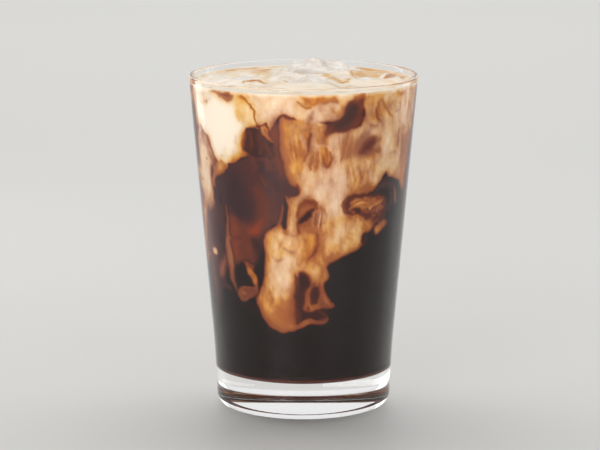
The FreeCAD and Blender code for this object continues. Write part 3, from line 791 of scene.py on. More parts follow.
def paintTopPatches(wall):
    # golden patch, pale patch and dark diagonal at the top
    area(wall, [(-1, 131), (-0.6, 127.4), (0, 125.8), (4, 125.7), (10, 127.2), (18, 127.4), (20.6, 128.6),
        (22, 131)], milk=0.56, tone=0.0, soft=1.4, flow=90, grain=0.04)
    stroke(wall, [(1.6, 128, 0.7), (3, 127, 0.6)], milk=0.46, tone=0.1, soft=1.6)
    stroke(wall, [(9, 128.4, 0.7), (17, 128.2, 0.7)], milk=0.50, tone=0.0, soft=1.6)
    stroke(wall, [(-3.6, 127.4, 0.25), (-2, 126.2, 0.4), (0.2, 125.2, 0.5), (3.4, 125.4, 0.4),
        (6, 126.6, 0.3), (12, 127.4, 0.3), (18, 127.2, 0.3)], milk=0.42, tone=0.25, soft=1.2)
    area(wall, [(4, 120.6), (6.6, 125.8), (10, 126.8), (17, 126.6), (20, 125), (20.6, 123), (18, 120.8),
        (13, 119.4), (8, 119.4)], milk=0.77, tone=0.95, soft=1.8)
    stroke(wall, [(4.8, 124.4, 0.5), (3.8, 122.4, 0.9), (4.4, 121, 0.5)], milk=0.58, tone=0.9, soft=2.0)
    stroke(wall, [(14, 123.4, 0.8), (17, 122.6, 1.2), (20.8, 125.2, 0.9)], milk=0.60, tone=0.15, soft=2.4,
        strength=0.85)
    stroke(wall, [(21, 129, 0.6), (22.4, 127, 0.9), (21.6, 124.6, 0.7)], milk=0.72, tone=0.3, soft=2.0)
    area(wall, [(16, 133), (17, 127.6), (19.6, 124.6), (22, 124.6), (25, 126.6), (36, 129), (38, 133)],
        milk=0.74, tone=0.35, soft=1.6)
    area(wall, [(24.4, 127.4), (28, 128.4), (33, 129.5), (32.4, 126), (30.4, 124), (31.2, 121), (31, 119),
        (28, 117.2), (24, 115.8), (18, 114.9), (13.4, 114.2), (11, 115.6), (11.4, 118), (14.4, 119),
        (18, 120.3), (20, 122.4), (21.8, 125.4)], milk=0.21, tone=0.45, soft=1.5, rough=0.25)
    stroke(wall, [(26, 127.6, 0.9), (29.4, 128.6, 1.3), (33, 129.8, 0.9)], milk=0.40, tone=0.05, soft=2.6)
    stroke(wall, [(28, 126, 0.6), (29.6, 124.4, 0.6), (28.4, 122.6, 0.4)], milk=0.32, tone=0.15, soft=2.0)
    stroke(wall, [(25, 124, 1.2), (22, 120.4, 1.4), (17, 117.6, 1.0)], milk=0.155, tone=0.5, soft=2.6)
    stroke(wall, [(29.4, 120.6, 0.8), (26, 117.8, 0.8)], milk=0.29, tone=0.25, soft=2.0)
    stroke(wall, [(13.4, 116.6, 1.0), (12, 114.8, 1.0)], milk=0.27, tone=0.35, soft=1.8)


def paintRightCream(wall):
    # right cream zone
    area(wall, [(35, 131), (33, 127), (31, 124.6), (32.6, 121.4), (31.8, 118.6), (31, 116.6), (36, 113.6),
        (41, 112.6), (43.6, 109), (44, 104), (41, 100), (37, 94), (36, 91.6), (40.6, 91.0), (44.2, 93.8),
        (48.8, 96.6), (52, 95.3), (58, 94.6), (62.6, 93), (66, 91), (70, 88), (74, 92), (78, 104),
        (79, 116), (78, 131)], milk=0.72, tone=0.6, soft=1.2, flow=95, grain=0.02)
    area(wall, [(33, 131), (31.6, 126), (33, 122), (36, 118.6), (39.6, 120), (40, 125), (41, 131)],
        milk=0.62, tone=0.25, soft=2.4, flow=110, grain=0.02)
    stroke(wall, [(33.4, 130, 1.2), (38, 129.4, 1.4), (45, 129.8, 0.9)], milk=0.62, tone=0.0, soft=2.6)
    stroke(wall, [(35.4, 121.6, 1.0), (36.6, 125, 0.8)], milk=0.64, tone=0.7, soft=2.6)
    area(wall, [(31, 116), (33, 119.4), (37, 118.4), (39, 115), (34, 113.4), (30, 113.8)], milk=0.60,
        tone=0.9, soft=3)
    stroke(wall, [(36, 117.2, 0.7), (39, 116.4, 0.7), (41.6, 118, 0.4)], milk=0.48, tone=0.8, soft=2.0)
    stroke(wall, [(39.8, 125.6, 0.35), (39.5, 122.6, 0.6), (40, 120, 0.6), (41.4, 118.4, 0.4),
        (43.4, 117.2, 0.2)], milk=0.26, tone=0.35, soft=1.3)
    stroke(wall, [(40.8, 124, 0.8), (41.6, 120.6, 0.9)], milk=0.50, tone=0.3, soft=1.8)
    stroke(wall, [(40.4, 126, 0.3), (41.8, 126.6, 0.45), (43.8, 124.4, 0.6), (46.4, 121.6, 0.6),
        (49.8, 119.2, 0.3)], milk=0.45, tone=0.25, soft=1.4)
    stroke(wall, [(43, 121.6, 0.8), (46, 119, 0.8)], milk=0.8, tone=0.4, soft=2.0)
    stroke(wall, [(50, 127.6, 0.5), (54, 128.4, 0.9), (59, 127.4, 0.9), (63, 127.6, 0.5)], milk=0.56,
        tone=0.15, soft=1.8)
    stroke(wall, [(49.6, 124.6, 0.8), (48, 122.6, 0.8)], milk=0.62, tone=0.95, soft=2.2)
    stroke(wall, [(55.4, 125, 0.5), (57.4, 123, 0.7), (55.6, 121, 0.6), (52.4, 121, 0.4)], milk=0.60,
        tone=0.9, soft=1.6)
    stroke(wall, [(45, 117, 1.6), (48, 110, 2.4), (49, 104, 2.2), (46, 99, 1.6)], milk=0.77, tone=0.6,
        soft=4.5)
    area(wall, [(62, 128), (62, 114), (66, 112), (74, 112), (80, 116), (82, 131), (66, 131)], milk=0.68,
        tone=0.75, soft=3.0)
    stroke(wall, [(64, 116, 1.4), (70, 114, 1.4), (76, 116, 1.0)], milk=0.66, tone=0.3, soft=3)
    area(wall, [(61, 111), (66, 111.6), (74, 111), (77, 104), (74, 96), (72, 90), (67, 89), (63.6, 93),
        (62, 101)], milk=0.47, tone=0.12, soft=2.6, flow=90, grain=0.03)
    stroke(wall, [(61, 111.4, 0.8), (63, 108.6, 1.2), (63, 104, 1.0)], milk=0.40, tone=0.6, soft=2.8)
    stroke(wall, [(67, 100, 1.2), (68, 94, 1.4), (67.6, 90, 0.8)], milk=0.53, tone=0.05, soft=2.8)
    stroke(wall, [(58, 113, 0.8), (57.4, 109.6, 1.0), (57.6, 107, 0.6)], milk=0.52, tone=0.85, soft=2.0)
    stroke(wall, [(60, 113, 0.8), (60.6, 111, 0.6)], milk=0.62, tone=0.4, soft=1.8)
    stroke(wall, [(51, 104.6, 0.6), (56, 104.8, 0.7), (60, 103.6, 0.5)], milk=0.64, tone=0.9, soft=2.0)
    area(wall, [(75, 113), (73.6, 106), (72, 98), (72.6, 90), (90, 86), (112, 96), (112, 131), (80, 131),
        (78.6, 120)], milk=0.2, tone=0.45, soft=3.6)


def paintCrescent(wall):
    # lower edge of the right zone, crescent and knot
    area(wall, [(25, 91.2), (30, 92.6), (35, 94), (40, 94.2), (41, 92.4), (38.6, 90.6), (34, 90.2),
        (29, 90.2)], milk=0.50, tone=0.3, soft=2.2, flow=25, grain=0.06)
    stroke(wall, [(31, 92.6, 0.5), (36, 92.6, 0.9), (39, 91.8, 0.5)], milk=0.42, tone=0.3, soft=1.8)
    area(wall, [(40, 90.6), (44.4, 93.6), (49, 96.7), (52, 95), (58, 94.4), (63, 92.6), (66, 88),
        (70, 80), (66, 64), (58, 60), (50, 66), (46, 70), (40, 71), (36, 68), (34, 73), (40, 78),
        (38, 84), (32, 87)], milk=0.045, tone=0.8, soft=1.1)
    stroke(wall, [(42, 90.4, 1.2), (48, 92.6, 1.8), (56, 92.4, 1.6)], ice=0.9, glow=0.40, milk=0.1,
        tone=0.8, soft=3.5, rough=0.8)
    stroke(wall, [(54, 91, 0.9), (55, 87, 1.2), (54, 83, 1.0)], ice=0.8, glow=0.45, milk=0.1, soft=3,
        rough=0.6)
    area(wall, [(21.8, 85.4), (23, 88.6), (26.4, 90.3), (31, 90.2), (38, 89.7), (44, 89.6), (50, 88),
        (52, 84), (51, 80), (46, 77.6), (41, 79), (36, 79.8), (31, 81.6), (26.4, 82), (23.2, 83)],
        milk=0.19, tone=0.5, soft=1.5, rough=0.3)
    stroke(wall, [(23, 84, 0.4), (22.4, 86.4, 0.5), (24, 88.8, 0.4)], milk=0.34, tone=0.35, soft=1.6)
    area(wall, [(26, 85.6), (28, 88), (33, 88.6), (40, 88.4), (47, 87.4), (49.6, 84.4), (46, 81.6),
        (42, 81), (38, 82), (33, 83), (28, 82.6), (25.8, 83.8)], milk=0.50, tone=0.25, soft=1.8, flow=15,
        grain=0.14, rough=0.6)
    stroke(wall, [(28.6, 86.8, 0.7), (33, 87.4, 0.9), (38, 86.6, 0.8), (44, 87, 0.5)], milk=0.58,
        tone=0.2, soft=1.8, grain=0.10, rough=0.5)
    stroke(wall, [(31, 85, 0.5), (35, 84.6, 0.8), (39, 84.8, 0.6)], milk=0.56, tone=0.15, soft=1.4,
        grain=0.08)
    stroke(wall, [(40, 83.6, 0.7), (44, 82.4, 1.0), (47, 80.4, 1.0)], milk=0.30, tone=0.7, soft=2.4,
        grain=0.10, rough=0.8)
    stroke(wall, [(36.6, 84.2, 0.4), (38.4, 82.6, 0.6), (41.6, 84.6, 0.4)], milk=0.28, tone=0.4, soft=1.2)
    stroke(wall, [(28.8, 84, 0.8), (30.6, 83.2, 1.0), (31.6, 84.2, 0.5)], milk=0.12, tone=0.6, soft=1.2)
    stroke(wall, [(25.4, 84.4, 0.4), (27.2, 85.6, 0.5)], milk=0.52, tone=0.3, soft=1.2)
    stroke(wall, [(26, 82.4, 0.4), (29, 82, 0.3), (32.6, 82.2, 0.4), (36, 80.4, 0.5), (39.4, 80.2, 0.5)],
        milk=0.24, tone=0.3, soft=1.3)
    stroke(wall, [(27, 81.4, 0.4), (31, 81.2, 0.5), (34, 80.2, 0.4)], milk=0.62, tone=0.15, soft=1.2)
    stroke(wall, [(48.6, 85, 0.8), (50.6, 82, 1.0), (50.4, 79, 0.8)], milk=0.22, tone=0.9, soft=3.0,
        rough=0.8)
    area(wall, [(36, 79.4), (40, 79.6), (42.6, 77.6), (41.4, 75.8), (38, 74.8), (35, 76), (34, 78)],
        milk=0.60, tone=0.15, soft=2.0, flow=140, grain=0.04)
    stroke(wall, [(41.4, 80, 0.8), (42.6, 78, 0.8), (44.6, 78.6, 0.7)], milk=0.34, tone=0.4, soft=2.0)
    area(wall, [(43, 74.6), (44.4, 76.4), (47, 77.4), (50, 78.6), (53, 78.4), (53.4, 76.8), (50.6, 75.6),
        (47.6, 74), (45, 73.4)], milk=0.60, tone=0.2, soft=1.6)
    stroke(wall, [(44, 74.4, 0.5), (46.4, 74.6, 0.7), (47.4, 75.6, 0.5)], milk=0.76, tone=0.1, soft=1.2)
    stroke(wall, [(50, 77.4, 0.5), (52.4, 77.6, 0.5)], milk=0.64, tone=0.6, soft=1.4)
    stroke(wall, [(47.6, 78.2, 0.4), (49.4, 76.6, 0.4)], milk=0.42, tone=0.4, soft=1.2)
    stroke(wall, [(37, 74.4, 0.6), (37, 72, 1.0), (36, 70, 0.6)], milk=0.20, tone=0.3, soft=2.6,
        strength=0.8)
    stroke(wall, [(58, 91, 0.4), (59.4, 88, 0.9), (60, 84.8, 0.7)], milk=0.46, tone=0.8, soft=2.4)


def paintNeck(wall):
    # neck between the main plume and the lower lobes
    area(wall, [(-4, 66), (2, 64.6), (8, 66), (12, 64), (13, 61.6), (14.4, 60), (13.8, 57.8),
        (11.6, 56.6), (11, 54.6), (13, 51.4), (16, 48.8), (18.8, 46.8), (17, 45.6), (12, 46), (6, 44.6),
        (1, 45), (-2, 50), (-4, 58)], milk=0.60, tone=0.35, soft=1.1, flow=125, grain=0.04)
    stroke(wall, [(2, 63.4, 1.4), (6, 61, 1.8), (11, 59, 1.4)], milk=0.60, tone=0.12, soft=2.8)
    stroke(wall, [(3, 66.4, 0.6), (6, 65.4, 0.8), (9, 63.4, 0.7), (11, 62, 0.4)], milk=0.48, tone=0.25,
        soft=2.2)
    stroke(wall, [(10.6, 58.4, 0.5), (13, 59.4, 0.7)], milk=0.72, tone=0.6, soft=1.5)
    stroke(wall, [(2.6, 61, 0.8), (4.4, 57.6, 0.9), (6, 55.8, 0.6)], milk=0.64, tone=0.4, soft=1.8)
    area(wall, [(3.2, 52), (4.6, 54.2), (7, 54.8), (9.6, 53), (10, 49.6), (8.8, 47.2), (6, 47.4),
        (4.6, 49.4)], milk=0.13, tone=0.45, soft=1.4)
    stroke(wall, [(6, 51.4, 0.4), (8, 50, 0.5)], milk=0.24, tone=0.4, soft=1.2)
    stroke(wall, [(10.6, 53, 0.35), (11.6, 50, 0.5), (14, 47.8, 0.6), (17.6, 46.8, 0.5)], milk=0.54,
        tone=0.25, soft=1.4)
    stroke(wall, [(10.4, 49.4, 0.5), (12, 47.6, 0.7)], milk=0.36, tone=0.3, soft=1.6)
    area(wall, [(2, 47.4), (2.6, 54), (4, 56), (9, 56), (11.6, 52), (15, 48.4), (17, 46.4), (12, 46),
        (6, 45.4)], milk=0.36, tone=0.4, soft=2.0, flow=70, grain=0.08, rough=0.3)
    area(wall, [(3.8, 52), (4.8, 54), (7, 54.4), (9.2, 52.6), (9.6, 49.6), (8.6, 47.6), (6, 47.8),
        (4.8, 49.6)], milk=0.15, tone=0.45, soft=1.6)
    stroke(wall, [(10.4, 55.6, 0.4), (11.6, 52, 0.6), (13.8, 49, 0.6), (17.8, 46.9, 0.5)], milk=0.60,
        tone=0.35, soft=1.3, grain=0.04)
    stroke(wall, [(2.4, 54, 0.5), (2.8, 50.6, 0.55), (2.2, 48, 0.5), (1.6, 46, 0.4)], milk=0.60,
        tone=0.25, soft=1.1)
    stroke(wall, [(3.2, 48.6, 0.4), (5.4, 46.6, 0.6), (9.4, 46, 0.6)], milk=0.58, tone=0.3, soft=1.2,
        grain=0.06)
    stroke(wall, [(3.6, 46.8, 0.4), (2.0, 45.2, 0.5)], milk=0.24, tone=0.4, soft=1.0)
    stroke(wall, [(13, 45.8, 0.5), (17, 46, 0.6)], milk=0.30, tone=0.5, soft=1.8)
    area(wall, [(-3, 44.8), (2, 44.8), (8, 44.8), (14, 45), (16, 43), (14, 41.8), (8, 41.4), (2, 42),
        (-2, 41)], milk=0.13, tone=0.45, soft=1.8)
    stroke(wall, [(9, 44.6, 0.5), (13, 43.4, 0.7)], milk=0.22, tone=0.6, soft=1.8)


def paintBody(wall):
    # bulb and the rounded body under it
    area(wall, [(-14, 79), (-18, 76.8), (-21.2, 74), (-22.6, 71), (-22.2, 67), (-22, 62.6), (-22.8, 57.6),
        (-25.4, 54.2), (-26.6, 51.4), (-27.8, 49.2), (-27.6, 46), (-25, 42.2), (-21, 39), (-16, 37),
        (-10, 36.3), (-5, 37.4), (-1.6, 39.4), (1.6, 41.4), (5, 41.5), (8, 40.8), (12, 41.2), (14.6, 42),
        (13.8, 40), (8, 39.2), (3, 39.4), (-2, 38.2), (-4, 40), (-6, 44), (-5.6, 50), (-5.6, 56),
        (-4.6, 60.8), (0, 62), (4, 63.4), (6.6, 66.2), (8.2, 70), (7, 74), (4, 76.6), (-2, 77.4),
        (-3, 82), (-2.6, 86), (-5, 90), (-9, 90.6), (-9.6, 89), (-8.8, 86), (-8.9, 81), (-9, 77.4),
        (-11, 76.2), (-12.6, 79)], milk=0.625, tone=0.4, soft=1.1, flow=90, grain=0.03)
    area(wall, [(-20, 65), (-14, 67), (-6, 67), (-5.6, 58), (-7, 51), (-11, 49), (-18, 51), (-20.6, 57)],
        milk=0.72, tone=0.6, soft=4, flow=90, grain=0.03)
    area(wall, [(-16, 64), (-12, 65.6), (-8, 64), (-8, 58), (-10, 54), (-14, 55), (-16, 59)], milk=0.79,
        tone=0.8, soft=4)
    stroke(wall, [(-21, 72, 0.6), (-20.8, 66, 0.8), (-20.8, 60, 0.8), (-22.6, 56, 0.7)], milk=0.56,
        tone=0.2, soft=2.2)
    stroke(wall, [(-24.6, 53, 0.7), (-22, 52, 1.0), (-22.4, 49.6, 0.6)], milk=0.54, tone=0.3, soft=2.2)
    area(wall, [(-21, 74.6), (-15, 78), (-8, 76), (-2, 76.4), (4, 75), (6, 70), (4, 66.6), (-2, 66.4),
        (-8, 67.4), (-14, 66), (-20, 67)], milk=0.66, tone=0.35, soft=2.6, flow=60, grain=0.04)
    stroke(wall, [(-18, 72.6, 1.0), (-16.4, 69, 1.8), (-14, 67, 1.0)], milk=0.73, tone=0.2, soft=3)
    stroke(wall, [(-11.4, 75, 1.0), (-9, 72, 1.6)], milk=0.72, tone=0.5, soft=3)
    stroke(wall, [(-11, 68.8, 0.5), (-8, 68.2, 0.7), (-5.6, 68.4, 0.4)], milk=0.54, tone=0.95, soft=1.8)
    stroke(wall, [(-19, 66.4, 0.5), (-15, 64.6, 0.6), (-11, 65, 0.4)], milk=0.6, tone=0.7, soft=1.8)
    stroke(wall, [(-2, 75, 1.2), (2.4, 72, 2.2), (2, 68, 1.6)], milk=0.57, tone=0.15, soft=3.4)
    stroke(wall, [(-10.4, 76.6, 0.6), (-6, 75, 0.5), (-3, 75.6, 0.5)], milk=0.5, tone=0.35, soft=1.8)
    stroke(wall, [(3.4, 77.6, 0.5), (6.6, 75.4, 0.9), (8.0, 71.6, 1.1), (7.0, 68, 1.0), (3.8, 65.8, 0.5)],
        milk=0.25, tone=0.2, soft=2.4)
    stroke(wall, [(9, 74, 0.8), (9.6, 69.6, 0.8)], milk=0.48, tone=0.3, soft=2.6)
    area(wall, [(-28, 49.6), (-22, 49.6), (-15, 49), (-9, 50), (-6, 50), (-5, 45), (-4.6, 39),
        (-10, 36.8), (-18, 37.4), (-25, 42)], milk=0.51, tone=0.2, soft=3.2)
    stroke(wall, [(-25, 47, 1.4), (-20, 46, 2.2), (-15, 47.6, 1.4)], milk=0.58, tone=0.15, soft=3.6)
    stroke(wall, [(-27, 49.6, 0.4), (-23, 48.4, 0.5), (-20, 46.4, 0.3)], milk=0.66, tone=0.35, soft=1.6)
    stroke(wall, [(-26.6, 47, 0.6), (-25, 43.6, 0.8), (-21, 40, 0.9), (-15.6, 38, 0.8), (-10, 37.4, 0.7)],
        milk=0.40, tone=0.3, soft=2.6)
    stroke(wall, [(-14, 46, 1.4), (-12.6, 42, 2.0), (-11, 39.6, 1.2)], milk=0.44, tone=0.1, soft=3.4)
    stroke(wall, [(-8, 48, 0.4), (-8.6, 44, 1.0), (-8.4, 40.6, 0.6)], milk=0.37, tone=0.25, soft=6)
    stroke(wall, [(-3.6, 38.8, 0.5), (0, 40.6, 0.6), (4, 41, 0.5)], milk=0.62, tone=0.5, soft=1.2)
    stroke(wall, [(6, 40.4, 0.3), (9.4, 40.3, 0.5), (12, 41, 0.9), (14, 41.4, 0.8)], milk=0.30, tone=0.7,
        soft=1.8)
    stroke(wall, [(4, 40.6, 0.3), (7, 40, 0.25), (10, 39.8, 0.25)], milk=0.56, tone=0.7, soft=0.9)


def paintStem(wall):
    # stem, its dark slot and the thin strand beside it
    stroke(wall, [(-2.6, 93, 0.8), (-5.0, 90, 0.9), (-6.4, 87.4, 1.2), (-6.6, 82, 1.4),
        (-6.6, 76.6, 1.6)], milk=0.68, tone=0.4, soft=1.8, grain=0.03)
    stroke(wall, [(-7.6, 87.6, 0.5), (-7.8, 82, 0.6), (-7.6, 78, 0.5)], milk=0.74, tone=0.4, soft=1.6)
    stroke(wall, [(-10, 91, 0.2), (-9.6, 89.4, 0.4), (-8.6, 87.6, 0.5)], milk=0.74, tone=0.5, soft=1.0)
    stroke(wall, [(-9.4, 94.6, 0.8), (-7.6, 91.4, 1.8), (-5.4, 91.6, 1.4), (-4.2, 93.4, 1.0)], milk=0.14,
        ice=0.9, glow=0.42, soft=1.8, rough=0.4)
    stroke(wall, [(-10.2, 90, 0.3), (-9.7, 86, 0.6), (-9.6, 81.6, 0.6), (-10, 78.4, 0.5)], milk=0.05,
        tone=0.5, soft=1.2)
    stroke(wall, [(-11.2, 87, 0.25), (-12.2, 82.6, 0.5), (-13, 79.6, 0.6), (-15, 77.6, 0.5)], milk=0.54,
        tone=0.35, soft=1.4)


def paintCavity(wall):
    # dark cavity in the lower body
    stroke(wall, [(-2.6, 49, 1.2), (-3.6, 44, 1.6), (-4.4, 40.6, 0.8)], milk=0.24, tone=0.35,
        soft=5)
    area(wall, [(-4.2, 57.6), (-2.8, 60.2), (0.4, 60.9), (2.8, 59), (3.2, 55.4), (1.6, 51.6), (1, 47),
        (-1.4, 45.4), (-3.6, 47), (-4.6, 52)], milk=0.16, tone=0.45, soft=2.2, flow=90, grain=0.02)
    stroke(wall, [(-0.8, 58.6, 1.0), (-0.4, 55.6, 1.4)], milk=0.12, tone=0.5, soft=2.2)
    stroke(wall, [(-5.2, 57, 0.4), (-6.2, 52, 0.8), (-6.6, 47.6, 0.8)], milk=0.38, tone=0.25, soft=3.4)


def paintHole(wall):
    # round hole beside the stem
    area(wall, [(-3.6, 82), (-2.6, 86.8), (0.6, 89.2), (4.4, 89.4), (7.6, 87.6), (9, 84.4), (7.6, 80.6),
        (4.4, 78.4), (-1, 77.8), (-3.4, 79)], milk=0.40, tone=0.35, soft=1.7)
    stroke(wall, [(-2.8, 83, 0.5), (-1.6, 86.6, 0.7), (1.8, 88.4, 0.9), (5.6, 87.8, 0.9),
        (7.8, 85.6, 0.6)], milk=0.28, tone=0.25, soft=1.6)
    stroke(wall, [(-0.6, 84.6, 0.6), (2, 85.2, 0.8), (3.6, 85.8, 0.5)], milk=0.46, tone=0.2, soft=1.4)
    stroke(wall, [(-2.6, 80.4, 0.4), (0, 81.6, 0.9), (3, 83, 1.2), (6, 84.6, 0.8)], milk=0.08, tone=0.7,
        soft=1.4)
    stroke(wall, [(-2.4, 79, 0.5), (-2.8, 77.4, 0.6), (-2.6, 75.8, 0.4)], milk=0.22, tone=0.4, soft=1.6)
    area(wall, [(5.6, 83.6), (8.6, 85.2), (11, 83.6), (11, 80), (8, 78.2), (5.4, 79.4)], milk=0.52,
        tone=0.75, soft=2.0, flow=80, grain=0.12, rough=0.4)
    stroke(wall, [(9.6, 86.4, 0.4), (12, 84.6, 0.5), (12.6, 82, 0.5), (11.4, 79.4, 0.4)], milk=0.50,
        tone=0.45, soft=1.6)
    stroke(wall, [(-1, 78, 0.8), (3, 77, 1.2), (7, 76.4, 1.0)], milk=0.42, tone=0.35, soft=2.6,
        grain=0.05)


def paintWisps(wall):
    # free wisps at the left
    area(wall, [(-35, 61.8), (-33.4, 61.4), (-30.6, 60.4), (-28.4, 58.6), (-28, 56.4), (-28.4, 54.2),
        (-30.2, 55), (-31.6, 57.4), (-34, 59.6)], milk=0.76, tone=0.05, soft=1.3)
    stroke(wall, [(-33.6, 60.6, 0.3), (-31.2, 58.6, 0.5), (-29.4, 56, 0.4)], milk=0.86, tone=0.1,
        soft=1.3)
    stroke(wall, [(-36, 62.6, 0.6), (-33, 62.2, 0.7), (-29.6, 61.2, 0.6)], milk=0.40, tone=0.15, soft=2.2)
    stroke(wall, [(-29, 54.4, 0.4), (-28.6, 52.4, 0.5), (-29.8, 51, 0.4)], milk=0.56, tone=0.9, soft=1.2)
    area(wall, [(-41.6, 51), (-38, 52.6), (-32, 53), (-28, 52.6), (-28.6, 50.6), (-32, 49), (-37, 47.6),
        (-41, 48)], milk=0.34, tone=0.8, soft=2.2)
    stroke(wall, [(-29.6, 53.4, 0.3), (-34, 53.2, 0.3), (-38, 52.6, 0.35), (-41, 51.2, 0.4),
        (-41.6, 49.6, 0.5), (-39.6, 48.2, 0.4)], milk=0.60, tone=0.5, soft=1.1)
    stroke(wall, [(-38.6, 50.6, 0.5), (-36.6, 50.4, 0.5)], milk=0.5, tone=0.3, soft=1.4)
    stroke(wall, [(-38, 47.6, 0.25), (-34, 48.6, 0.25), (-31, 49.6, 0.2)], milk=0.46, tone=0.9, soft=1.2)
    stroke(wall, [(-36, 45.6, 0.8), (-31, 45, 0.8), (-30, 42, 0.6)], milk=0.16, tone=1.0, soft=3.2,
        strength=0.8)


def paintSoftboxReflection(wall):
    # painted reflection: a purple-brown haze at the left edge, where the left softbox shows in the glass
    area(wall, [(-69, 83), (-63, 84), (-57, 86), (-53, 84), (-52, 76), (-54, 66), (-56, 58), (-59, 50),
        (-63, 43), (-68, 40), (-70, 52), (-70.6, 66)], milk=0.27, tone=1.0, ice=1.0, glow=0.34, soft=9)
    stroke(wall, [(-67, 79, 0.8), (-67.4, 70, 1.2), (-67, 60, 1.2), (-66.4, 50, 0.8)], milk=0.37,
        tone=1.0, ice=1.0, glow=0.34, soft=7)


def paintFilament(wall):
    # long filament at the left
    stroke(wall, [(-46.4, 85, 0.3), (-46.6, 81, 0.6), (-47.0, 77, 0.8), (-47, 73, 1.0), (-47.6, 69, 1.2)],
        milk=0.50, tone=0.8, soft=2.0, grain=0.04)
    area(wall, [(-49.6, 69), (-46, 71), (-44.8, 66), (-44.6, 60), (-44, 55), (-43.2, 50.6), (-44.6, 51.4),
        (-46.6, 56), (-48.8, 60), (-50.6, 64)], milk=0.50, tone=0.75, soft=3.2, flow=92,
        grain=0.05)
    stroke(wall, [(-46.8, 67, 0.5), (-46.2, 61, 0.7), (-45, 56, 0.5)], milk=0.58, tone=0.6, soft=2.2)
    area(wall, [(-53, 64), (-51, 62), (-52, 57), (-54.6, 54.4), (-58, 56), (-57.6, 60), (-55, 62.4)],
        milk=0.52, tone=1.0, soft=5, strength=0.8)
    stroke(wall, [(-53, 52, 1.4), (-49, 51, 1.2)], milk=0.3, tone=1.0, soft=3.6, strength=0.7)
    stroke(wall, [(-48, 71.2, 0.25), (-45, 71.5, 0.3), (-42, 71.6, 0.32), (-39, 72.4, 0.3),
        (-36, 72.9, 0.15)], milk=0.66, tone=0.7, soft=1.0)
    stroke(wall, [(-51.6, 86.6, 0.3), (-51.6, 84.8, 0.6)], milk=0.0, tone=0.8, soft=1.0)
    stroke(wall, [(-48.8, 79.6, 0.3), (-48.7, 78, 0.4)], milk=0.02, tone=0.8, soft=1.2)
    stroke(wall, [(-24.4, 98.4, 0.2), (-22, 98.2, 0.25), (-21.2, 96.6, 0.25), (-21.4, 95.4, 0.35),
        (-20.2, 93.8, 0.3), (-18.6, 93.5, 0.2)], milk=0.42, tone=0.6, soft=0.9)


def paintWallBubble(wall):
    # a bubble that clings to the wall
    stroke(wall, [(-63.6, 65.2, 1.3), (-61.8, 65.3, 1.3)], milk=1.0, tone=1.0, soft=0.8)


def paintOuterEdges(wall):
    # outer edges, seen nearly side on
    area(wall, [(-72, 77), (-69.4, 74), (-68.4, 68), (-69, 61.6), (-72, 58.6), (-84, 57), (-90, 66),
        (-84, 76), (-76, 78)], milk=0.24, tone=0.1, soft=3.4)
    stroke(wall, [(-69.6, 84, 1.2), (-72.6, 79, 1.6), (-75.6, 73, 1.5), (-78.6, 67, 1.0), (-81, 62, 0.5)],
        milk=0.62, tone=0.15, soft=2.6)
    stroke(wall, [(-72, 73, 0.8), (-74.6, 67, 1.0), (-78, 62, 0.8)], milk=0.31, tone=0.05, soft=3.0)
    stroke(wall, [(-71, 62.4, 0.5), (-76, 61.2, 0.6), (-80, 60.6, 0.4)], milk=0.48, tone=0.3, soft=1.4)


def paintFootGlow(wall):
    # painted glow: the brew's lowest edge, painted lighter for the light that comes to it through the clear
    # foot
    stroke(wall, [(-112, 15.4, 1.6), (112, 15.4, 1.6)], milk=0.15, tone=0.35, soft=7)
    stroke(wall, [(-32, 15.2, 0.4), (0, 14.8, 1.4), (34, 15.2, 0.4)], milk=0.25, tone=0.0, soft=4)


def paintRimLine(wall, last):
    stroke(wall, [(-112, 130.5, 1.0), (last, 130.5, 1.0)], milk=0.98, tone=0.85, soft=2.4, strength=0.95)


def paintRim(wall):
    # the pale line where the cream meets the air, and brew low at the right
    paintRimLine(wall, 112)
    area(wall, [(66, 88), (72, 89), (80, 90), (96, 92), (110, 88), (100, 70), (84, 68), (74, 70),
        (67, 80)], milk=0.13, tone=0.5, soft=5)


# in the order in which they go on, the deepest first
wallParts = (
    paintIceGlow, paintLeftStrip, paintBrightLobe, paintGoldenFold, paintPocket, paintMiddleLobe,
    paintMainPlume, paintPlumeSide, paintStrands, paintShadows, paintTopPatches, paintRightCream,
    paintCrescent, paintNeck, paintBody, paintStem, paintCavity, paintHole, paintWisps, paintSoftboxReflection,
    paintFilament, paintWallBubble, paintOuterEdges, paintFootGlow, paintRim,
)


def paintWall(wall):
    wall["milk"] += paintSizes["brewMilk"]
    for paintPart in wallParts:
        paintPart(wall)


def turnToBack(wall, degrees):
    # the back wears the same kinds of plumes: the front's turned about, meeting it at both sides,
    # and drawn well out of shape in between
    s = backLook
    x, z = wall["a"].copy(), wall["z"].copy()
    past = degrees - 90
    away = smooth((s["fadeFrom"] - np.abs(degrees - 180)) / s["fadeRange"])
    below = smooth((s["top"] - z) / s["fadeDepth"])
    turn = 180 - degrees - s["turn"] * np.sin(np.radians(2 * past))
    drift = clouds(x / s["driftSize"][0], z / s["driftSize"][1], 61, 2)
    wall["a"] = turn * paintSizes["perDegree"] + away * s["drift"] * drift
    drop = s["drop"] * np.sin(np.radians(3 * past)) * (np.abs(past - 90) < 90)
    fall = s["fall"] + s["drop"] * clouds(x / s["fallSize"][0], z / s["fallSize"][1], 47, 2)
    moved = z + below * (drop + away * fall)
    wall["z"] = np.minimum(moved, np.maximum(z, s["highest"]))


# plumes over the lines at both sides where the front meets the back
leftPlume = [(-98, 133), (-84, 133), (-85, 122), (-89, 115), (-87, 106), (-90, 98), (-94, 94), (-98, 99)]
leftPlume += [(-97, 108), (-101, 118), (-100, 126)]
rightPlume = [(83, 133), (97, 133), (98, 122), (93, 114), (96, 104), (92, 96), (88, 92), (85, 98)]
rightPlume += [(88, 106), (84, 114), (86, 122)]
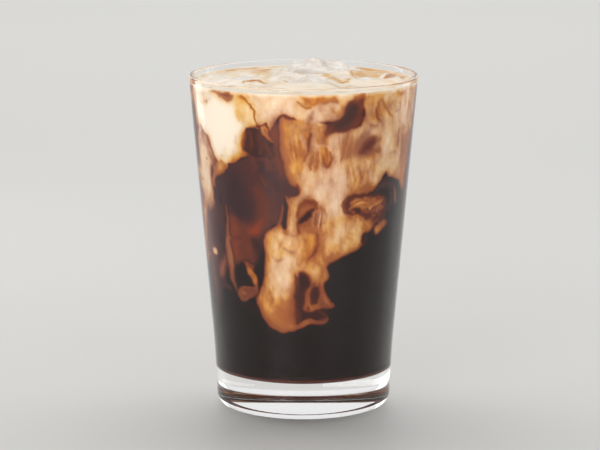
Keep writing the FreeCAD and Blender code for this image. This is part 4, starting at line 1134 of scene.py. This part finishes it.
# each line gives milk, tone and softness before its points
leftLines = [
    (0.62, 0.3, 2.0, [(-92, 97, 2.0), (-95, 88, 1.4), (-93, 80, 1.2), (-97, 71, 0.6)]),
    (0.5, 0.0, 1.6, [(-86, 121, 0.4), (-89.6, 114, 0.7), (-88, 106, 0.6), (-91, 98, 0.6)]),
    (0.55, 0.2, 2.6, [(-97, 128, 1.0), (-93, 120, 1.4), (-94, 111, 0.8)]),
]
rightLines = [
    (0.6, 0.3, 2.0, [(90, 96, 2.0), (93, 88, 1.6), (90, 80, 1.2), (94, 72, 0.6)]),
    (0.48, 0.05, 1.6, [(97, 121, 0.5), (92.6, 114, 0.8), (95, 105, 0.7), (91, 96, 0.5)]),
    (0.58, 0.2, 2.6, [(86, 127, 0.8), (89, 119, 1.4), (88, 111, 0.8)]),
]


def paintSidePlume(wall, turn, outline, milk, tone, lines):
    moved = [(turn + x, z) for x, z in outline]
    area(wall, moved, milk=milk, tone=tone, soft=2.0, flow=90, grain=0.04)
    for milk, tone, soft, line in lines:
        stroke(wall, [(turn + x, z, r) for x, z, r in line], milk=milk, tone=tone, soft=soft)


def paintSides(wall):
    for turn in (0, 360):
        paintSidePlume(wall, turn, leftPlume, 0.74, 0.6, leftLines)
    paintSidePlume(wall, 0, rightPlume, 0.72, 0.5, rightLines)
    paintRimLine(wall, 290)


def makeWallMap(first, last):
    # one half of the wall, from one angle to another
    s = paintSizes
    degrees = np.arange(first, last, s["columnStep"])
    wall = newMap(degrees * s["perDegree"], np.arange(s["lowest"], s["highest"], s["rowStep"]))
    wall["perDegree"] = s["perDegree"]
    plain = wall["a"].copy(), wall["z"].copy()
    if first > 0:
        turnToBack(wall, np.broadcast_to(degrees, wall["a"].shape))
    for swirl in swirls:
        curl(wall, *swirl)
    paintWall(wall)
    bent = wall["a"], wall["z"]
    wall["a"], wall["z"] = plain
    for swirl in sideSwirls:
        curl(wall, *swirl)
    paintSides(wall)
    wall["a"], wall["z"] = bent
    addFringes(wall)
    addClouding(wall)
    addFibres(wall)
    return wall


# the front's half and the back's, each a little past the sides
wallMaps = [makeWallMap(-94, 94), makeWallMap(86, 274)]
print("wall painted", [wall["milk"].shape for wall in wallMaps])


# each cube's middle (right, back), half widths, turn, how high it stands above the cream's level, and
# the bumps and hollows that melting has left on it: (right, back, radius, height)
iceLooks = {
    "ice_back": {
        "at": (6.4, 20.5),
        "half": (13.0, 11.5),
        "turn": 8,
        "rise": 4.9,
        "bumps": [
            (4.6, 22, 3.9, 1.8),
            (15, 18, 6.5, -2.6),
            (-2.4, 14, 3.0, -0.7),
            (8, 11, 5, -1.6),
            (-3.4, 20, 2.2, 0.3),
            (10.5, 21, 2.0, -0.5),
            (2, 16, 2.2, 0.35),
        ],
        "seed": 3,
    },
    "ice_front": {
        "at": (1.8, -8.5),
        "half": (9.4, 9.6),
        "turn": -14,
        "rise": 0.9,
        "bumps": [(2.0, -9, 4.4, 2.3), (0.4, -12, 2.0, 0.4), (5.0, -7, 2.4, 0.5), (-6, -12, 3, 0.3)],
        "seed": 11,
    },
    "ice_right": {
        "at": (27.0, 1.0),
        "half": (8.8, 8.6),
        "turn": 14,
        "rise": 0.45,
        "bumps": [(24, 4, 3, 0.7), (30, 2, 2.6, 0.5), (27, -4, 4, -0.3)],
        "seed": 23,
    },
    "ice_left": {
        "at": (-23.2, 4.4),
        "half": (10.0, 9.8),
        "turn": 35,
        "rise": 0.3,
        "bumps": [(-24, 8, 4, 0.5), (-20, 2, 2.4, 0.4)],
        "seed": 31,
    },
}
iceShape = {
    "squareness": 6.0,
    "cuts": 40,
    "underGap": 2.0,  # how much shorter a cube is below than its solid
    "bumpPower": 2.6,
    "wear": [(6.0, 0.3), (2.3, 0.14)],  # the size and the depth of what melting and pits take away
}


def turned(x, y, look):
    # a place as the cube's own sides see it
    a = math.radians(look["turn"])
    dx, dy = x - look["at"][0], y - look["at"][1]
    return dx * math.cos(a) + dy * math.sin(a), dy * math.cos(a) - dx * math.sin(a)


def outsideIce(x, y, look):
    # about how far a place on the surface is from the cube's outline, negative inside it
    u, v = turned(x, y, look)
    k = iceShape["squareness"]
    share = (np.abs(u / look["half"][0]) ** k + np.abs(v / look["half"][1]) ** k) ** (1 / k)
    return (share - 1) * min(look["half"])


iceTint = [(0.30, "#ecd9c6"), (0.43, "#f7ebdf"), (0.56, "#fffaf2"), (0.68, "#efd4b0")]


def meltingIce():
    # cloudy ice, wet and half melted, with a film of cream caught on it: soft and milky
    material, tree = newMaterial("creamyIce")
    place = addNode(tree, "ShaderNodeTexCoord").outputs["Object"]
    film = addNode(
        tree,
        "ShaderNodeTexNoise",
        values={"Scale": 1 / (11 * mm), "Detail": 4.0, "Roughness": 0.55, "Distortion": 0.8},
        links={"Vector": place},
    )
    tint = colourRamp(tree, film.outputs["Fac"], iceTint)
    relief = addNode(
        tree,
        "ShaderNodeTexNoise",
        values={"Scale": 1 / (4.5 * mm), "Detail": 2.0, "Roughness": 0.5},
        links={"Vector": place},
    )
    bump = addNode(
        tree,
        "ShaderNodeBump",
        values={"Strength": 0.45, "Distance": 0.8 * mm},
        links={"Height": relief.outputs["Fac"]},
    )
    body = addNode(
        tree,
        "ShaderNodeBsdfPrincipled",
        values={"Roughness": 0.1, "IOR": 1.31, "Transmission Weight": 0.12},
        links={"Base Color": tint, "Normal": bump.outputs[0]},
    )
    finishMaterial(tree, body)
    return material


def makeIce(node, look, material):
    # a rounded cube that reaches down into the cream, with its top bumpy from melting
    top = drinkSizes["surface"] + look["rise"]
    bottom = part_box(node)[0].z / mm + iceShape["underGap"]
    middle, half = (top + bottom) / 2, (top - bottom) / 2
    startPiece()
    bpy.ops.mesh.primitive_cube_add(size=2 * mm, location=(0, 0, 0))
    bpy.ops.object.mode_set(mode="EDIT")
    bpy.ops.mesh.subdivide(number_cuts=iceShape["cuts"])
    bpy.ops.object.mode_set(mode="OBJECT")
    piece = bpy.context.object
    cube = places(piece)
    k = iceShape["squareness"]
    length = (np.abs(cube) ** k).sum(1) ** (1 / k)
    cube = cube / length[:, None] * np.abs(cube).max(1)[:, None]
    u, v, w = (cube * [look["half"][0], look["half"][1], half]).T
    a = math.radians(look["turn"])
    x = look["at"][0] + u * math.cos(a) - v * math.sin(a)
    y = look["at"][1] + u * math.sin(a) + v * math.cos(a)
    z = middle + w
    upper = smooth(cube[:, 2])
    for bumpX, bumpY, radius, height in look["bumps"]:
        away = np.hypot(x - bumpX, y - bumpY) / radius
        z = z + upper * height * np.exp(-(away ** iceShape["bumpPower"]))
    co = np.stack([x, y, z], 1)
    for size, depth in iceShape["wear"]:
        across, back = x / size, y / size
        # each of the three directions reads another part of the noise, which slants as it goes down
        for i in range(3):
            wear = clouds(across + 0.5 * i + z / 17, back - 0.8 * i - z / 13, look["seed"] + 5 * i)
            co[:, i] += depth * wear
    moveTo(piece, co)
    piece = endPiece("iceCube" + node[4:].capitalize(), material)
    hand(piece, "ice", node)
    print(node, len(piece.data.polygons), "faces")


iceMaterial = meltingIce()
for node, look in iceLooks.items():
    makeIce(node, look, iceMaterial)


# from cold brew to cream, by how much milk there is: a golden mix and a greyer pinkish one
goldenMix = [
    (0.00, "#150a07"),
    (0.08, "#1a0c09"),
    (0.16, "#3a1810"),
    (0.28, "#712f15"),
    (0.38, "#94491b"),
    (0.48, "#b86c28"),
    (0.58, "#d99a42"),
    (0.68, "#e5ba74"),
    (0.80, "#efd0a0"),
    (0.90, "#f6e2c2"),
    (1.00, "#fdf0dc"),
]
rosyMix = [
    (0.00, "#150a08"),
    (0.08, "#1b0d0d"),
    (0.16, "#3c1c18"),
    (0.28, "#5f2c22"),
    (0.38, "#7f4532"),
    (0.48, "#a06a4c"),
    (0.58, "#c2906f"),
    (0.68, "#dab190"),
    (0.80, "#e6cbae"),
    (0.90, "#ecdcc8"),
    (1.00, "#fbeee0"),
]
# from dark ice behind the brew to ice that glows through it
iceGlow = [
    (0.00, "#1c1012"),
    (0.25, "#382024"),
    (0.45, "#4e2825"),
    (0.62, "#68301f"),
    (0.80, "#7e351f"),
    (1.00, "#9e3c20"),
]


def marbledDrink(name, gloss):
    # cold brew and sweet cream, half mixed: opaque where creamy and almost black below. Against
    # the glass it has next to no shine of its own, and on top it is as wet as milk.
    material, tree = newMaterial(name)

    def read(layer):
        return addNode(tree, "ShaderNodeAttribute", {"attribute_name": layer}).outputs["Fac"]

    def mix(share, first, second):
        # a colour mix's inputs 0, 6 and 7 are its share and two colours, and output 2 is the colour
        links = {0: share, 6: first, 7: second}
        return addNode(tree, "ShaderNodeMix", {"data_type": "RGBA"}, links=links).outputs[2]

    place = addNode(tree, "ShaderNodeTexCoord").outputs["Object"]
    # the fine grain of cream that has just curdled into the brew
    grain = addNode(
        tree,
        "ShaderNodeTexNoise",
        values={"Scale": 1 / (0.9 * mm), "Detail": 3.0, "Roughness": 0.6},
        links={"Vector": place},
    )
    nudge = addNode(
        tree, "ShaderNodeMath", {"operation": "MULTIPLY_ADD"}, {1: 0.06, 2: -0.03}, {0: grain.outputs["Fac"]}
    )
    milk = addNode(tree, "ShaderNodeMath", links={0: read("milk"), 1: nudge.outputs[0]}).outputs[0]
    drink = mix(read("tone"), colourRamp(tree, milk, goldenMix), colourRamp(tree, milk, rosyMix))
    shine = addNode(
        tree,
        "ShaderNodeBsdfPrincipled",
        values={"Roughness": 0.2, "IOR": 1.35, "Specular IOR Level": gloss},
        links={"Base Color": mix(read("ice"), drink, colourRamp(tree, read("glow"), iceGlow))},
    )
    finishMaterial(tree, shine)
    return material


def addSlot(piece, material, chosen):
    # another material on the faces whose middle (in millimetres) is chosen
    piece.data.materials.append(material)
    place = len(piece.data.materials) - 1
    for face in piece.data.polygons:
        if chosen(face.center / mm):
            face.material_index = place


def wallPaint(angles, heights):
    # what the wall's maps say at each of these places
    frontMap, backMap = wallMaps
    s = drinkSizes
    around = (angles + 90) % 360 - 90
    isFront = around <= 90
    # behind the glass a place looks further from the middle than it is, and the two halves meet
    # at the sides, where the bend fades out again
    middle = np.where(isFront, 0, 180)
    seen = middle + (around - middle) / s["bend"]
    seen = seen + (around - seen) * smooth((np.abs(around - middle) - s["bendEnds"]) / s["bendFade"])
    found = {}
    for name in ("milk", "tone", "ice", "glow"):
        values = np.empty(len(angles))
        for part, paint in ((isFront, frontMap), (~isFront, backMap)):
            values[part] = readMap(paint, name, seen[part] * paintSizes["perDegree"], heights[part])
        found[name] = values
    return found


def setAttributes(piece, layers):
    for name, values in layers.items():
        attribute = piece.data.attributes.new(name, "FLOAT", "POINT")
        attribute.data.foreach_set("value", np.asarray(values, np.float32))


def finishIce(layers):
    # the glow only shows where there is little cream in front of it
    layers["ice"] = np.clip(layers["ice"], 0, 1) * smooth((0.45 - layers["milk"]) / 0.3)
    layers["tone"] = np.clip(layers["tone"], 0, 1)


def spanOf(arc, step):
    return arc, round(arc / step)


def turnDrink():
    # with a finer mesh in front, where the marbling is seen best
    s = drinkSizes
    side = spanOf(s["sideArc"], s["sideStep"])
    back = spanOf(360 - s["fineArc"] - 2 * s["sideArc"], s["backStep"])
    turnOutline([side, spanOf(s["fineArc"], s["fineStep"]), side, back])


def makeColdBrew(material):
    s = drinkSizes
    floor = glassSizes["floorHeight"] - s["intoWall"]
    foot = (insideRadius(floor) + s["intoWall"], floor)
    plain = (insideRadius(s["plainTop"]) + s["intoWall"], s["plainTop"])
    top = (insideRadius(s["joint"]) + s["intoWall"], s["joint"])
    corner = roundCorner((0, floor), foot, top, glassSizes["cornerRounding"], s["cornerSteps"])
    outline = [(0.0, floor)] + corner + [plain, top, (0.0, s["joint"])]
    plainRows = round((s["plainTop"] - corner[-1][1]) / s["plainStep"])
    rows = round((s["joint"] - s["plainTop"]) / s["rowStep"])
    wall = len(corner)  # the edge of the outline where the straight wall begins
    ends = {0: s["capRings"], wall + 2: s["capRings"]}
    drawOutline(outline, firstAngle, {**ends, wall: plainRows, wall + 1: rows})
    turnDrink()
    brew = endPiece("coldBrew", material)
    x, y, z = places(brew).T
    layers = wallPaint(np.degrees(np.arctan2(x, -y)), z)
    finishIce(layers)
    setAttributes(brew, layers)
    dark, red = floor + s["undersideTop"], floor + s["glowingEdgeTop"]
    # painted light: the dark coffee's underside is painted a pale grey for the light it catches from the
    # clear foot, and its rim a red-brown for the light that comes through it
    litUnderside = plainMaterial("coldBrewLitUnderside", "#a29e9c", {"Roughness": 0.4, "Specular IOR Level": 0.1})
    edge = plainMaterial("coldBrewGlowingEdge", "#6e3426", {"Roughness": 0.3, "Specular IOR Level": 0.1})
    addSlot(brew, litUnderside, lambda middle: middle.z < dark)
    addSlot(brew, edge, lambda middle: dark <= middle.z < red)
    hand(brew, "cold_brew", "cold_brew")
    print("cold brew", len(brew.data.polygons), "faces")


creamTopLook = {
    "milk": 0.93,
    "ripple": 0.3,
    "rippleSize": 9.0,
    "swell": 1.9,  # how far the cream climbs the ice, and over what distance
    "swellReach": 3.8,
    "calm": 4,  # beside the meniscus, where the ripples fade out
    "meniscusSteps": 8,
    "middleRings": 4,
    "cell": 0.4,
    "faint": 0.11,  # how much the faint swirls darken the cream, and turn it golden
    "faintGold": 0.25,
    "wetDepth": 1.5,
}


def paintTop(top):
    # the surface seen from above: right and back in millimetres
    top["milk"] += creamTopLook["milk"]
    area(top, [(-42, 4), (-30, 12), (-14, 6), (-12, -8), (-26, -16), (-40, -8)], milk=0.97, tone=0.7,
        soft=8)
    area(top, [(-40, 14), (-34, 27), (-20, 35), (-12, 30), (-20, 16), (-32, 8)], milk=0.9, tone=0.45,
        soft=6)
    area(top, [(18, 33), (27, 34), (36, 24), (38, 10), (32, 3), (22, 4), (18, 14)], milk=0.72, tone=0.3,
        soft=5)
    area(top, [(-13, 20), (-10, 33), (-2, 40), (10, 41), (20, 36), (22, 20), (8, 6), (-8, 6)], milk=0.95,
        tone=0.9, soft=4)
    area(top, [(-12, -4), (-10, 8), (2, 12), (12, 2), (10, -12), (-4, -16)], milk=0.98, tone=0.85, soft=4)
    # where the cream thins at the glass behind
    stroke(top, [(-41, 12, 0.5), (-37, 23, 0.6), (-29, 31, 0.5), (-18, 38.4, 0.4)], milk=0.6, tone=0.8,
        soft=1.4)
    stroke(top, [(-38, 29, 1.0), (-35, 32, 1.2)], milk=0.55, tone=0.9, soft=2.0)
    stroke(top, [(18, 38, 0.5), (27, 33.6, 0.6), (34, 25.4, 0.6)], milk=0.62, tone=0.5, soft=2.0)
    # the brown froth at the left, and the bubble in front of it
    area(top, [(-20, 33), (-17, 36), (-13.5, 31), (-13.4, 20), (-16, 12), (-20, 14), (-21, 24)],
        milk=0.68, tone=0.3, soft=4, rough=1.2)
    stroke(top, [(-19.4, 33, 0.7), (-16.6, 35, 0.8), (-14, 31.6, 0.6)], milk=0.5, tone=0.3, soft=1.4)
    stroke(top, [(-17.4, 25, 0.6), (-15.6, 22, 0.8)], milk=0.42, tone=0.3, soft=1.2)
    stroke(top, [(-14.6, 18, 1.2), (-14.4, 4, 1.6), (-15, -8, 1.0)], milk=0.78, tone=0.1, soft=4)
    stroke(top, [(-22.8, -9.8, 0.4), (-20, -7.4, 0.8), (-17.4, -7.4, 0.8), (-14.8, -10.4, 0.4)],
        milk=0.46, tone=0.1, soft=1.2)
    # creases beside the ice
    stroke(top, [(7, 20, 0.8), (9, 8, 1.4), (11.6, -5, 1.6), (15, -9, 1.4), (18, -7, 0.8)], milk=0.72,
        tone=0.1, soft=3.2, rough=1.2)
    stroke(top, [(8.4, 6, 0.4), (10.6, -2, 0.8), (12, -7, 0.5)], milk=0.57, tone=0.15, soft=2.0,
        rough=0.8)
    stroke(top, [(13.4, -10, 0.8), (16.6, -9.6, 0.9), (18.4, -7, 0.4)], milk=0.52, tone=0.15, soft=1.6,
        rough=0.8)
    stroke(top, [(18, 12, 0.5), (20, 5, 0.7), (22.6, 2, 0.4)], milk=0.55, tone=0.5, soft=1.6)
    stroke(top, [(-9, 26, 0.5), (-9.6, 14, 0.7), (-10.4, 2, 0.5)], milk=0.72, tone=0.5, soft=2.4)
    stroke(top, [(-7.4, -9, 0.5), (-4, -13.6, 0.6), (2, -14.6, 0.6), (6.6, -12, 0.5)], milk=0.58,
        tone=0.3, soft=1.6)
    stroke(top, [(-0.6, -11.3, 0.4), (4.8, -11.2, 0.4)], milk=0.5, tone=0.5, soft=1.0)
    stroke(top, [(20, 14, 0.6), (24, 8, 0.6), (27, 3, 0.4)], milk=0.7, tone=0.6, soft=2)
    # the right side: a pale ridge, and brown beyond it
    area(top, [(31, 1), (33.4, 11), (36, 18), (39.4, 13), (39, 5), (36, 0)], milk=0.52, tone=0.05, soft=3)
    stroke(top, [(32.6, 2, 0.6), (35, 6, 0.7), (38, 9, 0.5)], milk=0.5, tone=0.2, soft=1.6)
    stroke(top, [(29.6, -2, 0.9), (32.2, 9, 0.9), (34.8, 22, 0.7)], milk=1.0, tone=0.8, soft=0.9)
    # front: pink and brown lines where the cream meets the wall
    stroke(top, [(-28, -14, 0.4), (-22, -18, 0.5), (-15, -19.4, 0.4)], milk=0.55, tone=0.3, soft=1.3)
    stroke(top, [(9, -18, 0.5), (14, -17.6, 0.8), (18, -14.6, 0.5)], milk=0.6, tone=0.5, soft=2)


def makeTopMap():
    look, reach = creamTopLook, glassSizes["mouthRadius"]
    cells = np.arange(-reach, reach, look["cell"])
    top = newMap(cells, cells)
    for swirl in topSwirls:
        curl(top, *swirl)
    paintTop(top)
    # faint swirls that run along the surface from side to side
    x, y = top["a"], top["z"]
    faint = smooth(1.6 * clouds(x / 10 + y / 40, y / 5.5, 91, 3) - 0.1)
    top["milk"] -= look["faint"] * faint
    top["tone"] -= look["faintGold"] * faint
    addFibres(top)
    return top


def creamLift(x, y):
    # how far the surface stands above its level
    look = creamTopLook
    lift = look["ripple"] * clouds(x / look["rippleSize"], y / look["rippleSize"], 77, 3)
    for cube in iceLooks.values():
        away = outsideIce(x, y, cube)
        lift = lift + look["swell"] * np.exp(-((away / look["swellReach"]) ** 2))
    return lift


def creamOutline(rise, edge):
    # from the middle of the joint out to the wall, up it, and back in over the raised edge
    s, steps = drinkSizes, creamTopLook["meniscusSteps"]
    low = (insideRadius(s["joint"]) + s["intoWall"], s["joint"])
    outline = [(0.0, s["joint"]), low, (edge + s["intoWall"], rise), (edge, rise)]
    for i in range(1, steps + 1):
        share = i / steps
        high = s["surface"] + s["meniscusRise"] * (1 - share) ** 2
        outline.append((edge - s["meniscusWidth"] * share, high))
    return outline + [(0.0, s["surface"])]


def makeSweetCream(material, wetTop):
    s, look = drinkSizes, creamTopLook
    surface, rise = s["surface"], s["surface"] + s["meniscusRise"]
    edge = insideRadius(rise)
    outline = creamOutline(rise, edge)
    rows = round((rise - s["joint"]) / s["rowStep"])
    rings = round(outline[-2][0] / s["ringStep"])
    drawOutline(outline, firstAngle, {0: look["middleRings"], 1: rows, len(outline) - 2: rings})
    turnDrink()
    cream = endPiece("sweetCream", material)
    co = places(cream)
    x, y, z = co.T
    away = np.hypot(x, y)
    high = z > surface - 0.01
    onTop = high & (away < edge + 0.05)
    co[:, 2] += smooth((edge - s["meniscusWidth"] - away) / look["calm"]) * high * creamLift(x, y)
    moveTo(cream, co)
    layers = wallPaint(np.degrees(np.arctan2(x, -y)), z)
    top = makeTopMap()
    share = smooth(edge + 0.1 - away) * onTop
    for name, values in layers.items():
        values += share * (readMap(top, name, x, y) - values)
    finishIce(layers)
    setAttributes(cream, layers)
    lowest, widest = surface - look["wetDepth"], edge - 0.1
    addSlot(cream, wetTop, lambda middle: middle.z > lowest and middle.xy.length < widest)
    hand(cream, "sweet_cream", "sweet_cream")
    print("sweet cream", len(cream.data.polygons), "faces")


drinkMaterial = marbledDrink("marbledColdBrew", 0.06)
makeColdBrew(drinkMaterial)
makeSweetCream(drinkMaterial, marbledDrink("wetSweetCream", 0.35))


# bubbles on the cream: each group's middle and reach (right, back), how many, and their smallest and
# largest radius
bubbleGroups = [
    {"at": (-17, 24), "reach": (2.6, 9.0), "count": 44, "radius": (0.25, 0.8)},
    {"at": (-17, 12), "reach": (2.2, 5.0), "count": 18, "radius": (0.2, 0.6)},
    {"at": (-19, -9), "reach": (2.6, 2.4), "count": 12, "radius": (0.25, 0.9)},
    {"at": (12.5, -3), "reach": (2.4, 2.2), "count": 14, "radius": (0.2, 0.55)},
    {"at": (30, 22), "reach": (3.0, 5.0), "count": 14, "radius": (0.2, 0.6)},
    {"at": (-33, 22), "reach": (3.0, 5.0), "count": 12, "radius": (0.2, 0.5)},
]
rimBubbles = {"count": 70, "radius": (0.14, 0.38), "band": 0.9}
bubbleSunk = 0.35  # as a share of the radius
bubbleSpread = 0.55


def chooseBubbles():
    # (right, back, radius) of each bubble that is clear of the ice and of the bubbles before it
    chance = np.random.default_rng(8)
    inside = insideRadius(drinkSizes["surface"]) - drinkSizes["meniscusWidth"]
    wanted = []
    for group in bubbleGroups:
        for _ in range(group["count"]):
            x, y = np.array(group["at"]) + np.array(group["reach"]) * chance.normal(0, bubbleSpread, 2)
            wanted.append((x, y, chance.uniform(0, 1) ** 2, group["radius"]))
    for _ in range(rimBubbles["count"]):
        angle = chance.uniform(0, 2 * math.pi)
        r = inside - chance.uniform(0, rimBubbles["band"])
        place = r * math.cos(angle), r * math.sin(angle)
        wanted.append((*place, chance.uniform(0, 1), rimBubbles["radius"]))
    bubbles = []
    for x, y, share, (least, most) in wanted:
        radius = least + (most - least) * share
        clear = all(math.hypot(x - a, y - b) > radius + c for a, b, c in bubbles)
        offIce = all(outsideIce(x, y, cube) > radius for cube in iceLooks.values())
        if clear and offIce and math.hypot(x, y) < inside + 0.2:
            bubbles.append((x, y, radius))
    return bubbles


def makeBubbles():
    bubbles = chooseBubbles()
    startPiece()
    for i, (x, y, radius) in enumerate(bubbles):
        z = drinkSizes["surface"] + float(creamLift(np.array(x), np.array(y))) - bubbleSunk * radius
        place = (x * mm, y * mm, z * mm)
        # the first makes the piece, which stays at the origin, and the others go into it
        bpy.ops.mesh.primitive_ico_sphere_add(
            subdivisions=2, radius=radius * mm, location=place if i else (0, 0, 0)
        )
        if i == 0:
            bpy.ops.object.mode_set(mode="EDIT")
            bpy.ops.transform.translate(value=place)
    # a thin film of sweet cream round air: half clear, very smooth
    thin = {"Roughness": 0.03, "IOR": 1.33, "Transmission Weight": 0.85}
    film = plainMaterial("creamBubbleFilm", "#fbeedb", thin)
    piece = endPiece("creamBubbles", film)
    hand(piece, "sweet_cream")
    print("bubbles", len(bubbles), "faces", len(piece.data.polygons))


makeBubbles()


stageSizes = {"radius": 6000.0, "corners": 96, "colour": "#d2d1ce"}
# power in watts, size as width and height
lamps = {
    "key light": {"at": (-500, -1000, 280), "size": (700, 500), "power": 4.9, "aim": (0, 0, 80)},
    "fill light": {"at": (700, -900, 260), "size": (600, 420), "power": 1.8, "aim": (0, 0, 80)},
    "back light": {"at": (0, 1300, 1800), "size": (3000, 2400), "power": 42.0, "aim": (0, 1299, 0)},
    "left softbox": {"at": (-420, 330, 230), "size": (170, 620), "power": 0.5, "aim": (0, 0, 70)},
    "right softbox": {"at": (460, 300, 230), "size": (170, 620), "power": 0.4, "aim": (0, 0, 70)},
}
studio = {"ambient": 0.22, "seen": 0.86}  # how bright the room is as a light, and how bright it looks
view = {
    "distance": 1145.4,
    "height": 286.7,
    "aim": 65.8,  # height on the axis that the camera looks at
    "lens": 177.1,
    "shiftX": -0.0058,
    "shiftY": 0.0251,
    "sensor": 36,
    "clip": (0.05, 30),
}


def makeStage():
    startPiece()
    s = stageSizes
    bpy.ops.mesh.primitive_circle_add(
        vertices=s["corners"], radius=s["radius"] * mm, fill_type="NGON", location=(0, 0, 0)
    )
    floor = bpy.context.object
    floor.name = "tabletop"
    floor.data.materials.append(plainMaterial("paleTabletop", s["colour"], {"Roughness": 0.5}))


def aimAt(thing, target):
    thing.rotation_euler = (Vector(target) - thing.location).to_track_quat("-Z", "Y").to_euler()


def makeLamps():
    for name, lamp in lamps.items():
        light = bpy.data.lights.new(name, "AREA")
        light.shape = "RECTANGLE"
        light.size, light.size_y = (v * mm for v in lamp["size"])
        light.energy = lamp["power"]
        thing = bpy.data.objects.new(name, light)
        bpy.context.collection.objects.link(thing)
        thing.location = [v * mm for v in lamp["at"]]
        aimAt(thing, [v * mm for v in lamp["aim"]])
    world = bpy.data.worlds.new("paleStudio")
    world.use_nodes = True
    tree = world.node_tree
    tree.nodes.clear()
    # the room looks pale straight on, in reflections and through glass, and lights things less
    ray = addNode(tree, "ShaderNodeLightPath").outputs
    seen = ray["Is Camera Ray"]
    for other in ("Is Glossy Ray", "Is Transmission Ray"):
        both = {0: seen, 1: ray[other]}
        seen = addNode(tree, "ShaderNodeMath", {"operation": "MAXIMUM"}, links=both).outputs[0]
    strength = addNode(
        tree,
        "ShaderNodeMapRange",
        values={"To Min": studio["ambient"], "To Max": studio["seen"]},
        links={"Value": seen},
    )
    sky = addNode(
        tree, "ShaderNodeBackground", values={"Color": (1, 1, 1, 1)}, links={"Strength": strength.outputs[0]}
    )
    addNode(tree, "ShaderNodeOutputWorld", links={"Surface": sky.outputs[0]})
    bpy.context.scene.world = world


def makeCamera():
    camera = bpy.data.cameras.new("camera")
    camera.lens = view["lens"]
    camera.sensor_width = view["sensor"]
    camera.shift_x, camera.shift_y = view["shiftX"], view["shiftY"]
    camera.clip_start, camera.clip_end = view["clip"]  # in metres
    thing = bpy.data.objects.new("camera", camera)
    bpy.context.collection.objects.link(thing)
    thing.location = (0, -view["distance"] * mm, view["height"] * mm)
    aimAt(thing, (0, 0, view["aim"] * mm))
    bpy.context.scene.camera = thing


makeStage()
makeLamps()
makeCamera()
bpy.context.scene.view_settings.view_transform = "Standard"
